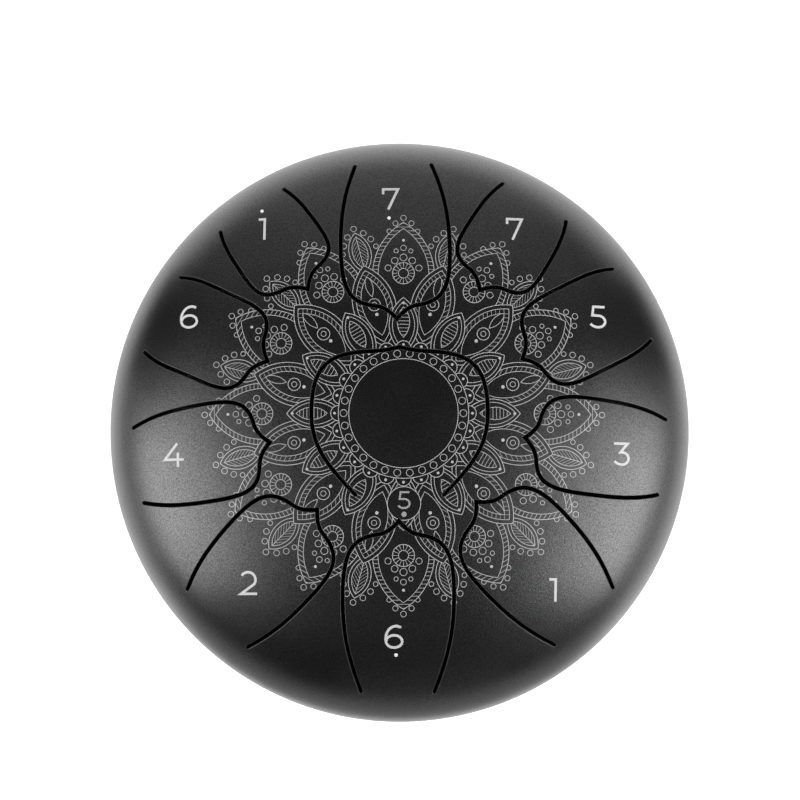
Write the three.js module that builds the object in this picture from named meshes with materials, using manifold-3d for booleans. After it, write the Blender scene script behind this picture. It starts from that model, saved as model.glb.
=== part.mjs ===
// A steel tongue drum: two pressed shells welded at the rim, the top one cut into eleven tongues.
// Millimetres, +Z up, +Y away from the player. The origin is on the drum's axis, on the floor.
import * as THREE from "three";
import { mergeVertices } from "three/addons/utils/BufferGeometryUtils.js";
import Module from "manifold-3d";

const wasm = await Module();
wasm.setup();

// Shells
const drumDiameter = 254;
const wall = 2;
const topRise = 70;
const bottomDrop = 62;
const domeFullness = 2.25;
const bowlFullness = 2.1;
const baseFlatDiameter = 150;
const portDiameter = 64;

// Rim joint: the bowl's lap stands inside the dome, and the bead fills a groove outside
const fitGap = 0.3;
const lapHeight = 6;
const lapLead = 1;
const grooveHeight = 1.2;
const grooveDepth = 1.1;

// Slits and the cut that stands for the bending line at each tongue's root
const slitWidth = 1.7;
const rootCut = 0.3;

// Outer tongues, all rooted at one distance in from the rim
const rootInset = 12.7;
const tipDepth = 5.6;
const tipHalfWidth = 8;
const rootTaper = 0.35;

// How far each outer tongue's tip stays from the axis: the shorter the tongue, the higher its note
const tipRadiusLow6 = 41;
const tipRadiusLow7 = 44;
const tipRadius1 = 46;
const tipRadius2 = 50;
const tipRadius3 = 53;
const tipRadius4 = 55;
const tipRadius5 = 58.5;
const tipRadius6 = 61.5;
const tipRadius7 = 66;
const tipRadiusHigh1 = 69;
const outerTongues = [
  { note: "low_6", azimuth: -90.4, tipRadius: tipRadiusLow6, halfAngle: 17.7, rootHalfAngle: 7.9 },
  { note: "low_7", azimuth: 91.4, tipRadius: tipRadiusLow7, halfAngle: 17.1, rootHalfAngle: 8.3 },
  { note: "1", azimuth: -45.8, tipRadius: tipRadius1, halfAngle: 17.2, rootHalfAngle: 8.8 },
  { note: "2", azimuth: -133.6, tipRadius: tipRadius2, halfAngle: 16.4, rootHalfAngle: 9 },
  { note: "3", azimuth: -6.5, tipRadius: tipRadius3, halfAngle: 14.2, rootHalfAngle: 8.2 },
  { note: "4", azimuth: -171.7, tipRadius: tipRadius4, halfAngle: 14.2, rootHalfAngle: 8.2 },
  { note: "5", azimuth: 27.9, tipRadius: tipRadius5, halfAngle: 13.4, rootHalfAngle: 8.8 },
  { note: "6", azimuth: 154.6, tipRadius: tipRadius6, halfAngle: 12.9, rootHalfAngle: 9 },
  { note: "7", azimuth: 59.1, tipRadius: tipRadius7, halfAngle: 12.3, rootHalfAngle: 8 },
  { note: "high_1", azimuth: 124.2, tipRadius: tipRadiusHigh1, halfAngle: 12.2, rootHalfAngle: 8.3 },
];

// A tongue's outline: where along its length it is widest, and the reach of its curves' handles,
// as shares of the tip's depth and width, of the widening and of the run to the root
const bellyShare = 0.45;
const tipHandle = { along: 0.53, across: 0.32 };
const flankHandle = { along: 0.88, across: 0.62 };
const flankRise = 0.75;
const flankLead = 0.6;
const bellyLead = 0.75;
const bellyTrail = 0.45;
const rootLead = 0.3;

// Centre tongue, rooted on the player's side of the crown
const centreTipDistance = 32;
const centreRootDistance = 30;
const centreHalfWidth = 37;
const centreRootHalfWidth = 18.5;
const centreTipDepth = 1.8;
const centreTipHalfWidth = 12;
const centreRootTaper = 0.95;

// Tuning magnets, glued under the tongues
const magnetDiameter = 10;
const magnetThickness = 2;
const magnetFromTip = 16;
const glueGap = 0.45;

// Feet and their fasteners
const footCount = 3;
const footFirstAzimuth = 90;
const footHeight = 9;
const footTopDiameter = 24;
const footBottomDiameter = 20;
const footEdge = 1.2;
const footRecessDiameter = 12;
const footRecessDepth = 5;
const screwDiameter = 4;
const screwLength = 12;
const screwHeadDiameter = 8;
const screwHeadHeight = 2.6;
const screwSocketAcross = 2.5;
const screwSocketDepth = 1.4;
const screwHeadChamfer = 0.6;
const screwEndChamfer = 0.5;
const screwClearance = 0.35;
const washerDiameter = 11;
const washerThickness = 1;
const nutAcrossFlats = 7;
const nutThickness = 3.2;

// Facets, how far a cut runs past what it cuts, and how close two points of an outline may lie
const roundFacets = 60;
const domeRings = 11;
const bowlRings = 6;
const footFacets = 24;
const smallFacets = 16;
const tipSteps = 5;
const flankSteps = 8;
const bellySteps = 6;
const cutOver = 1;
const leastSpacing = 0.3;
const mergeDistance = 1e-4;

const rimRadius = drumDiameter / 2;
const rimHeight = footHeight + bottomDrop;
const baseRadius = baseFlatDiameter / 2;
const portRadius = portDiameter / 2;
const footCircleRadius = (portRadius + baseRadius) / 2;
const radians = THREE.MathUtils.degToRad;

const steel = new THREE.MeshStandardMaterial({ color: 0x24252a, roughness: 0.5, metalness: 0.1 });
const rubber = new THREE.MeshStandardMaterial({ color: 0x141414, roughness: 0.9 });
const zinc = new THREE.MeshStandardMaterial({ color: 0xb8bcc0, roughness: 0.35, metalness: 1 });
const nickel = new THREE.MeshStandardMaterial({ color: 0xd0d0ce, roughness: 0.2, metalness: 1 });

const drum = new THREE.Group();
drum.name = "tongue_drum";

/** A geometry's triangles as a solid for the cuts. */
function solidOf(geometry) {
  const bare = geometry.clone();
  bare.deleteAttribute("normal");
  bare.deleteAttribute("uv");
  const merged = mergeVertices(bare, mergeDistance);
  return new wasm.Manifold(
    new wasm.Mesh({
      numProp: 3,
      vertProperties: new Float32Array(merged.attributes.position.array),
      triVerts: new Uint32Array(merged.index.array),
    }),
  );
}

/** A solid's triangles as a geometry. */
function geometryOf(solid) {
  const mesh = solid.getMesh();
  const geometry = new THREE.BufferGeometry();
  geometry.setAttribute("position", new THREE.BufferAttribute(mesh.vertProperties, 3));
  geometry.setIndex(new THREE.BufferAttribute(mesh.triVerts, 1));
  geometry.computeVertexNormals();
  return geometry;
}

/** A body of revolution about Z from [radius, height] pairs that run upwards on the outside. */
function turned(profile, facets) {
  const points = profile.map(([radius, height]) => new THREE.Vector2(radius, height));
  return new THREE.LatheGeometry(points, facets).rotateX(Math.PI / 2);
}

function addPiece(parent, name, geometry, material) {
  const mesh = new THREE.Mesh(geometry, material);
  mesh.name = name;
  parent.add(mesh);
  return mesh;
}

/** Outside point and outward normal of the dome, as [radius, height over the rim plane]. */
function domeAt(angle) {
  const power = 2 / domeFullness;
  const radius = rimRadius * Math.sin(angle) ** power;
  const height = topRise * Math.max(0, Math.cos(angle)) ** power;
  const normal = new THREE.Vector2(
    (radius / rimRadius) ** (domeFullness - 1) / rimRadius,
    (height / topRise) ** (domeFullness - 1) / topRise,
  ).normalize();
  return { radius, height, normal };
}

/** Height of the dome's outside over the rim plane at one distance from the axis. */
function domeHeight(radius) {
  return topRise * (1 - (radius / rimRadius) ** domeFullness) ** (1 / domeFullness);
}

/** Radius of the dome's outside at one height over the rim plane. */
function domeRadius(height) {
  return rimRadius * (1 - (height / topRise) ** domeFullness) ** (1 / domeFullness);
}

/** Outside point and outward normal of the bowl, as [radius, height under the rim plane]. */
function bowlAt(angle) {
  const power = 2 / bowlFullness;
  const reach = rimRadius - baseRadius;
  const across = Math.sin(angle) ** power;
  const down = Math.max(0, Math.cos(angle)) ** power;
  const normal = new THREE.Vector2(
    across ** (bowlFullness - 1) / reach,
    -(down ** (bowlFullness - 1)) / bottomDrop,
  ).normalize();
  return { radius: baseRadius + reach * across, height: -bottomDrop * down, normal };
}

/** The bowl's angle at one depth under the rim plane. */
function bowlAngle(depth) {
  return Math.acos((depth / bottomDrop) ** (bowlFullness / 2));
}

/** The whole top shell before its slits are cut, with the weld groove's upper half at its edge. */
function domeBlank() {
  const outside = [];
  const inside = [];
  for (let ring = 0; ring <= domeRings; ring += 1) {
    const { radius, height, normal } = domeAt((Math.PI / 2) * (ring / domeRings));
    outside.push([radius, rimHeight + height]);
    inside.push([radius - wall * normal.x, rimHeight + height - wall * normal.y]);
  }
  outside.pop();
  const edge = [
    [rimRadius - grooveDepth, rimHeight],
    [domeRadius(grooveHeight), rimHeight + grooveHeight],
  ];
  return turned([...inside, ...edge, ...outside.reverse()], roundFacets);
}

/** The bottom shell: flat base with a port, curved side, and the lap inside the top shell. */
function bowlBlank() {
  const lapOutside = domeRadius(lapHeight) - wall - fitGap;
  const lapInside = lapOutside - wall;
  const shoulder = fitGap;
  const outsideEnd = bowlAngle(shoulder + grooveHeight);
  const insideEnd = bowlAngle(shoulder + 3 * wall);
  const outside = [];
  const inside = [];
  for (let ring = 0; ring <= bowlRings; ring += 1) {
    const share = ring / bowlRings;
    const outer = bowlAt(outsideEnd * share);
    outside.push([outer.radius, rimHeight + outer.height]);
    const { radius, height, normal } = bowlAt(insideEnd * share);
    inside.push([radius - wall * normal.x, rimHeight + height - wall * normal.y]);
  }
  const lap = [
    [rimRadius - grooveDepth, rimHeight - shoulder],
    [lapOutside, rimHeight - shoulder],
    [lapOutside, rimHeight + lapHeight - lapLead],
    [lapOutside - lapLead / 2, rimHeight + lapHeight],
    [lapInside, rimHeight + lapHeight],
    [lapInside, rimHeight - shoulder - wall],
  ];
  const start = [portRadius, footHeight];
  const end = [portRadius, footHeight + wall];
  return turned([start, ...outside, ...lap, ...inside.reverse(), end, start], roundFacets);
}

/** The weld bead, flush with the shells, in the groove between their edges. */
function beadGeometry() {
  const middle = rimHeight - fitGap / 2;
  const root = rimRadius - grooveDepth + fitGap;
  const reach = grooveHeight - fitGap;
  const profile = [
    [root, middle],
    [rimRadius, middle - reach],
    [rimRadius, middle + reach],
    [root, middle],
  ];
  return turned(profile, roundFacets);
}

/** One side of a tongue from its tip to its root, as three curves in (along, across). */
function tongueSide(shape) {
  const point = (along, across) => new THREE.Vector2(along, across);
  const tip = point(0, 0);
  const flank = point(shape.tipDepth, shape.tipHalf);
  const flankIn = point(flankHandle.along * flank.x, flankHandle.across * flank.y);
  const flankSlope = (flank.x - flankIn.x) / (flank.y - flankIn.y);
  const bellyAt = bellyShare * shape.length;
  const belly = point(bellyAt, shape.bellyHalf);
  const rise = flankRise * (shape.bellyHalf - shape.tipHalf);
  const run = shape.length - bellyAt;
  const lead = rootLead * run;
  const flankOut = point(flank.x + flankLead * flankSlope * rise, flank.y + rise);
  const bellyIn = point(bellyAt - bellyLead * (bellyAt - flank.x), shape.bellyHalf);
  const bellyOut = point(bellyAt + bellyTrail * run, shape.bellyHalf);
  const root = point(shape.length, shape.rootHalf);
  const rootIn = point(shape.length - lead, shape.rootHalf + lead * shape.rootTaper);
  const tipOut = point(tipHandle.along * flank.x, tipHandle.across * flank.y);
  return [
    { curve: new THREE.CubicBezierCurve(tip, tipOut, flankIn, flank), steps: tipSteps },
    { curve: new THREE.CubicBezierCurve(flank, flankOut, bellyIn, belly), steps: flankSteps },
    { curve: new THREE.CubicBezierCurve(belly, bellyOut, rootIn, root), steps: bellySteps },
  ];
}

/** A tongue's outline moved out (or in, if offset is under 0) with its root line moved along. */
function tongueOutline(shape, offset, rootShift) {
  const side = tongueSide(shape);
  const start = side[0].curve.getTangent(0);
  const tip = new THREE.Vector2(-offset / start.y, 0);
  const points = [];
  side.forEach(({ curve, steps }, index) => {
    for (let step = index === 0 ? 0 : 1; step <= steps; step += 1) {
      const along = curve.getTangent(step / steps);
      const at = curve.getPoint(step / steps);
      const moved = new THREE.Vector2(at.x - offset * along.y, at.y + offset * along.x);
      if (moved.y > leastSpacing && moved.x > tip.x + leastSpacing) {
        points.push(moved);
      }
    }
  });
  const last = side[2].curve.getTangent(1);
  const end = points[points.length - 1];
  const reach = (shape.length + rootShift - end.x) / last.x;
  points[points.length - 1] = new THREE.Vector2(end.x + reach * last.x, end.y + reach * last.y);
  const mirrored = points.map((p) => new THREE.Vector2(p.x, -p.y)).reverse();
  return [...mirrored, tip, ...points];
}

/** An upright prism on an outline, tall enough to pass through the dome, in the drum's frame. */
function tonguePrism(shape, offset, rootShift) {
  const outline = new THREE.Shape(tongueOutline(shape, offset, rootShift));
  const prism = new THREE.ExtrudeGeometry(outline, { depth: 2 * topRise, bevelEnabled: false });
  prism.translate(shape.tipRadius, 0, rimHeight);
  prism.rotateZ(radians(shape.azimuth));
  return prism;
}

/** Every tongue's sizes in one form: the centre tongue's tip lies past the axis from its root. */
function tongueShapes() {
  const rootRadius = rimRadius - rootInset;
  const outer = outerTongues.map(({ note, azimuth, tipRadius, halfAngle, rootHalfAngle }) => {
    const rootHalf = rootRadius * Math.sin(radians(rootHalfAngle));
    const length = rootRadius * Math.cos(radians(rootHalfAngle)) - tipRadius;
    const bellyHalf = (tipRadius + bellyShare * length) * Math.tan(radians(halfAngle));
    const tip = { tipDepth, tipHalf: tipHalfWidth };
    return { note, azimuth, tipRadius, length, bellyHalf, rootHalf, rootTaper, ...tip };
  });
  const centre = {
    note: "low_5",
    azimuth: -90,
    tipRadius: -centreTipDistance,
    length: centreTipDistance + centreRootDistance,
    tipDepth: centreTipDepth,
    tipHalf: centreTipHalfWidth,
    bellyHalf: centreHalfWidth,
    rootHalf: centreRootHalfWidth,
    rootTaper: centreRootTaper,
  };
  return [centre, ...outer];
}

/** A magnet that lies along the underside of the dome on a tongue's centre line. */
function addMagnet(shape) {
  const along = shape.tipRadius + magnetFromTip;
  const radius = Math.abs(along);
  const { normal } = domeAt(Math.asin((radius / rimRadius) ** (domeFullness / 2)));
  const tilt = Math.atan2(-normal.x, normal.y) * Math.sign(along);
  const mount = new THREE.Group();
  mount.rotation.z = radians(shape.azimuth);
  const seat = new THREE.Group();
  seat.position.set(along, 0, rimHeight + domeHeight(radius));
  seat.rotation.y = -tilt;
  const disc = new THREE.CylinderGeometry(
    magnetDiameter / 2,
    magnetDiameter / 2,
    magnetThickness,
    smallFacets,
  );
  disc.rotateX(Math.PI / 2);
  disc.translate(0, 0, -wall - glueGap - magnetThickness / 2);
  addPiece(seat, `tuning_magnet_${shape.note}`, disc, nickel);
  mount.add(seat);
  drum.add(mount);
}

function cylinderBetween(diameter, bottom, top, facets) {
  const height = top - bottom;
  const cylinder = new THREE.CylinderGeometry(diameter / 2, diameter / 2, height, facets);
  return cylinder.rotateX(Math.PI / 2).translate(0, 0, bottom + height / 2);
}

/** A six-sided prism about Z, sized across its flats. */
function hexagon(acrossFlats, bottom, top) {
  return cylinderBetween(acrossFlats / Math.cos(Math.PI / 6), bottom, top, 6);
}

/** A rubber foot with a recess underneath for the screw's head and washer. */
function footGeometry() {
  const hole = screwDiameter / 2 + screwClearance;
  const recess = footRecessDiameter / 2;
  const bottom = footBottomDiameter / 2;
  const top = footTopDiameter / 2;
  const profile = [
    [hole, footRecessDepth],
    [recess, footRecessDepth],
    [recess, 0],
    [bottom - footEdge, 0],
    [bottom, footEdge],
    [top, footHeight - footEdge],
    [top - footEdge / 2, footHeight],
    [hole, footHeight],
    [hole, footRecessDepth],
  ];
  return turned(profile, footFacets);
}

function washerGeometry() {
  const hole = screwDiameter / 2 + screwClearance;
  const top = footRecessDepth;
  const profile = [
    [hole, top - washerThickness],
    [washerDiameter / 2, top - washerThickness],
    [washerDiameter / 2, top],
    [hole, top],
    [hole, top - washerThickness],
  ];
  return turned(profile, smallFacets);
}

/** A socket screw, head down, its head against the washer. */
function screwGeometry() {
  const seat = footRecessDepth - washerThickness;
  const under = seat - screwHeadHeight;
  const end = seat + screwLength;
  const shank = screwDiameter / 2;
  const head = screwHeadDiameter / 2;
  const profile = [
    [0, under],
    [head - screwHeadChamfer, under],
    [head, under + screwHeadChamfer],
    [head, seat],
    [shank, seat],
    [shank, end - screwEndChamfer],
    [shank - screwEndChamfer, end],
    [0, end],
  ];
  const socket = hexagon(screwSocketAcross, under - cutOver, under + screwSocketDepth);
  return geometryOf(solidOf(turned(profile, smallFacets)).subtract(solidOf(socket)));
}

function nutGeometry() {
  const seat = footHeight + wall;
  const bore = screwDiameter + 2 * screwClearance;
  const top = seat + nutThickness;
  const hole = cylinderBetween(bore, seat - cutOver, top + cutOver, smallFacets);
  const body = hexagon(nutAcrossFlats, seat, top);
  return geometryOf(solidOf(body).subtract(solidOf(hole)));
}

const shapes = tongueShapes();
const dome = solidOf(domeBlank());

// Tongues, and the openings that they stand in
let topShell = dome;
for (const shape of shapes) {
  const opening = tonguePrism(shape, slitWidth / 2, rootCut / 2);
  topShell = topShell.subtract(solidOf(opening));
  const tongue = dome.intersect(solidOf(tonguePrism(shape, -slitWidth / 2, -rootCut / 2)));
  addPiece(drum, `tongue_${shape.note}`, geometryOf(tongue), steel);
  addMagnet(shape);
}
addPiece(drum, "top_shell", geometryOf(topShell), steel);

// Bottom shell, with a hole for each foot's screw
let bottomShell = solidOf(bowlBlank());
const screwHole = screwDiameter + 2 * screwClearance;
for (let index = 0; index < footCount; index += 1) {
  const azimuth = footFirstAzimuth + (360 / footCount) * index;
  const holeTop = footHeight + wall + cutOver;
  const hole = cylinderBetween(screwHole, footHeight - cutOver, holeTop, smallFacets);
  hole.translate(footCircleRadius, 0, 0);
  hole.rotateZ(radians(azimuth));
  bottomShell = bottomShell.subtract(solidOf(hole));
  const foot = new THREE.Group();
  foot.rotation.z = radians(azimuth);
  const stack = new THREE.Group();
  stack.position.x = footCircleRadius;
  addPiece(stack, `foot_${index + 1}`, footGeometry(), rubber);
  addPiece(stack, `foot_washer_${index + 1}`, washerGeometry(), zinc);
  addPiece(stack, `foot_screw_${index + 1}`, screwGeometry(), zinc);
  addPiece(stack, `foot_nut_${index + 1}`, nutGeometry(), zinc);
  foot.add(stack);
  drum.add(foot);
}
addPiece(drum, "bottom_shell", geometryOf(bottomShell), steel);
addPiece(drum, "seam_weld", beadGeometry(), steel);

export default drum;
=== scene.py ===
"""Looks of a steel tongue drum: coated shells and tongues, printed numbers, feet and fasteners.

Metres, +Z up, +Y away from the player. The origin is on the drum's axis, on the floor.
"""

import logging
import math
from dataclasses import dataclass
from enum import Enum
from functools import cached_property

import bpy
import numpy as np
from bpy.types import Material, MeshEdge, Node, NodeSocket, Object, World
from mathutils import Matrix, Vector


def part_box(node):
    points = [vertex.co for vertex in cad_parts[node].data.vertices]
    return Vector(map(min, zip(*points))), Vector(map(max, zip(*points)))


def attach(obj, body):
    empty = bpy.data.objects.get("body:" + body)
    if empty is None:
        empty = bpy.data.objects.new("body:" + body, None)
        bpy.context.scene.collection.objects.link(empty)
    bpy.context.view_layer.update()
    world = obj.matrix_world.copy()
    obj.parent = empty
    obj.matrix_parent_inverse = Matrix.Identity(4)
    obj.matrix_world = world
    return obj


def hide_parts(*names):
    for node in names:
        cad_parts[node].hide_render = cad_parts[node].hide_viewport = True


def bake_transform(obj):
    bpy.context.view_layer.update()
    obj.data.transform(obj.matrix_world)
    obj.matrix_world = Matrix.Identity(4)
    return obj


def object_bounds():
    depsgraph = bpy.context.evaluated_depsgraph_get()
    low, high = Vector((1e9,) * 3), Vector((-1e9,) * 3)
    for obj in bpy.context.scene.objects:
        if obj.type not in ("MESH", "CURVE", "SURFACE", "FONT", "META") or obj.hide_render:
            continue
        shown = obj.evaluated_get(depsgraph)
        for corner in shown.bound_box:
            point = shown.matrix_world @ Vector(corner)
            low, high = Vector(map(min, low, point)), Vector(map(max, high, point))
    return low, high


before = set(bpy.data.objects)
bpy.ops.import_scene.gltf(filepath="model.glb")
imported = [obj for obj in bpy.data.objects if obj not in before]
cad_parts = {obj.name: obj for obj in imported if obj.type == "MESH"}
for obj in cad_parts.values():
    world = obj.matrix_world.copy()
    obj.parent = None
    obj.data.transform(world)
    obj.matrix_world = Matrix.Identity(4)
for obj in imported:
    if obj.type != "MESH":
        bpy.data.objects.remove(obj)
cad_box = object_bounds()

MM = 0.001
# Points closer than this are one point
SEAM = 0.001 * MM
# A point within this of a line lies on it
NEAR = 0.02 * MM
# A flat plate's face is level if the upward part of its normal is over this
LEVEL = 0.999
FEET = (1, 2, 3)
Pair = tuple[float, float]
Colour = tuple[float, float, float]
LOG = logging.getLogger("tongue_drum")


class Slot(Enum):
    """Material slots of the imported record."""

    COAT = "coated_steel"
    RUBBER = "foot_rubber"
    ZINC = "zinc_steel"
    NICKEL = "magnet_nickel"


def select_only(piece: Object) -> None:
    """Selects one object and makes it the active one.

    Args:
        piece: The object.
    """
    bpy.ops.object.select_all(action="DESELECT")
    piece.select_set(True)
    bpy.context.view_layer.objects.active = piece


def add_ring(name: str, points: np.ndarray, fill: str) -> Object:
    """Adds a circle primitive whose points take given places, N by 3, and selects it in edit mode.

    Args:
        name: The object's name.
        points: The points' places, N by 3.
        fill: NGON for a filled circle, NOTHING for an open one.

    Returns:
        The ring, in edit mode.
    """
    bpy.ops.object.select_all(action="DESELECT")
    bpy.ops.mesh.primitive_circle_add(vertices=len(points), radius=1, fill_type=fill)
    piece = bpy.context.object
    piece.name = piece.data.name = name
    piece.data.vertices.foreach_set("co", points.ravel())
    piece.data.update()
    bpy.ops.object.mode_set(mode="EDIT")
    bpy.ops.mesh.select_all(action="SELECT")
    return piece


def face_out() -> None:
    """Points the faces of the piece in edit mode outward and leaves edit mode."""
    bpy.ops.mesh.normals_make_consistent(inside=False)
    bpy.ops.object.mode_set(mode="OBJECT")


def regular_outline(radius: float, count: int) -> np.ndarray:
    """Points of a regular outline about the origin, N by 2."""
    angle = np.linspace(0, math.tau, count, endpoint=False)
    return radius * np.column_stack([np.cos(angle), np.sin(angle)])


def add_plate(name: str, outline: np.ndarray, top: float, bottom: float) -> Object:
    """Models a flat plate: a filled circle primitive takes the outline's form and is extruded.

    Args:
        name: The object's name.
        outline: Points of the outline, N by 2, in order round it.
        top: Height of the plate's upper face.
        bottom: Height of its lower face.

    Returns:
        The plate, closed, with its faces pointing out.
    """
    plate = add_ring(name, np.column_stack([outline, np.full(len(outline), top)]), "NGON")
    bpy.ops.mesh.extrude_region_move(TRANSFORM_OT_translate={"value": (0, 0, bottom - top)})
    bpy.ops.mesh.select_all(action="SELECT")
    face_out()
    return plate


def turn_profile(name: str, profile: list[Pair], steps: int) -> Object:
    """Models a turned piece: a closed profile of (radius, height) pairs is spun about the Z axis.

    Args:
        name: The object's name.
        profile: Points of the section, in order round it.
        steps: Number of steps in the full turn.

    Returns:
        The turned piece, closed, with its faces pointing out.
    """
    corners = np.array([(radius, 0.0, height) for radius, height in profile])
    piece = add_ring(name, corners, "NOTHING")
    bpy.ops.mesh.spin(steps=steps, angle=math.tau, center=(0, 0, 0), axis=(0, 0, 1))
    bpy.ops.mesh.select_all(action="SELECT")
    bpy.ops.mesh.remove_doubles(threshold=SEAM)
    face_out()
    return piece


def combine(piece: Object, tool: Object, operation: str) -> None:
    """Applies a boolean of a tool to a piece and removes the tool.

    Args:
        piece: The piece to change.
        tool: The object that cuts it or is joined to it.
        operation: DIFFERENCE, UNION or INTERSECT.
    """
    select_only(piece)
    modifier = piece.modifiers.new("shape", "BOOLEAN")
    modifier.operation = operation
    modifier.solver = "EXACT"
    modifier.object = tool
    bpy.ops.object.modifier_apply(modifier=modifier.name)
    bpy.data.objects.remove(tool)


def join(piece: Object, other: Object) -> None:
    """Joins another object into a piece.

    Args:
        piece: The piece.
        other: The object that becomes part of it.
    """
    select_only(piece)
    other.select_set(True)
    bpy.ops.object.join()


def upper_edges(piece: Object) -> list[MeshEdge]:
    """Finds the edges between a flat plate's upper face and its walls.

    Args:
        piece: The plate.

    Returns:
        The edges.
    """
    upright = 0.5
    seen: dict[tuple[int, int], list[float]] = {}
    for polygon in piece.data.polygons:
        for key in polygon.edge_keys:
            seen.setdefault(key, []).append(polygon.normal.z)
    found = []
    for edge in piece.data.edges:
        sides = seen.get(edge.key, [])
        if len(sides) == 2 and max(sides) > upright > abs(min(sides)):
            found.append(edge)
    return found


def bevel_edges(piece: Object, chosen: set[int], width: float, segments: int) -> None:
    """Bevels chosen edges of a piece.

    Args:
        piece: The piece to change.
        chosen: Indices of the edges.
        width: Width of the bevel.
        segments: Number of faces across it.
    """
    select_only(piece)
    bpy.context.scene.tool_settings.mesh_select_mode = (False, True, False)
    for group in (piece.data.polygons, piece.data.edges, piece.data.vertices):
        group.foreach_set("select", np.zeros(len(group), dtype=bool))
    for index in chosen:
        piece.data.edges[index].select = True
    bpy.ops.object.mode_set(mode="EDIT")
    bpy.ops.mesh.bevel(offset=width, offset_type="OFFSET", segments=segments, affect="EDGES")
    bpy.ops.object.mode_set(mode="OBJECT")


def cut_grid(piece: Object, pitch: float) -> None:
    """Cuts a flat plate into cells along X and Y, so that it can be curved.

    Args:
        piece: The plate.
        pitch: Distance between the cuts, which lie at multiples of it.
    """
    select_only(piece)
    points = np.array([vertex.co for vertex in piece.data.vertices])
    bpy.ops.object.mode_set(mode="EDIT")
    for axis in (0, 1):
        normal = Vector((axis == 0, axis == 1, 0))
        first = math.ceil(points[:, axis].min() / pitch)
        last = math.floor(points[:, axis].max() / pitch)
        for line in range(first, last + 1):
            bpy.ops.mesh.select_all(action="SELECT")
            place = normal * (line * pitch)
            bpy.ops.mesh.bisect(plane_co=place, plane_no=normal, threshold=NEAR)
    bpy.ops.object.mode_set(mode="OBJECT")


def smooth(piece: Object, degrees: float) -> None:
    """Shades a piece smooth, with sharp edges where faces meet at more than an angle."""
    select_only(piece)
    bpy.ops.object.shade_smooth_by_angle(angle=math.radians(degrees))


def fillet(corner: Pair, radius: float, start: float, turn: float) -> list[Pair]:
    """Points of a quarter round on a turned profile.

    Args:
        corner: Centre of the round, as (radius, height).
        radius: Its radius.
        start: Angle of its first point in degrees, 0 pointing out and 90 up.
        turn: Degrees that it turns.

    Returns:
        Its points, as (radius, height) pairs.
    """
    steps = 6
    angles = [math.radians(start + turn * step / steps) for step in range(steps + 1)]
    return [(corner[0] + radius * math.cos(a), corner[1] + radius * math.sin(a)) for a in angles]


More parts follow.
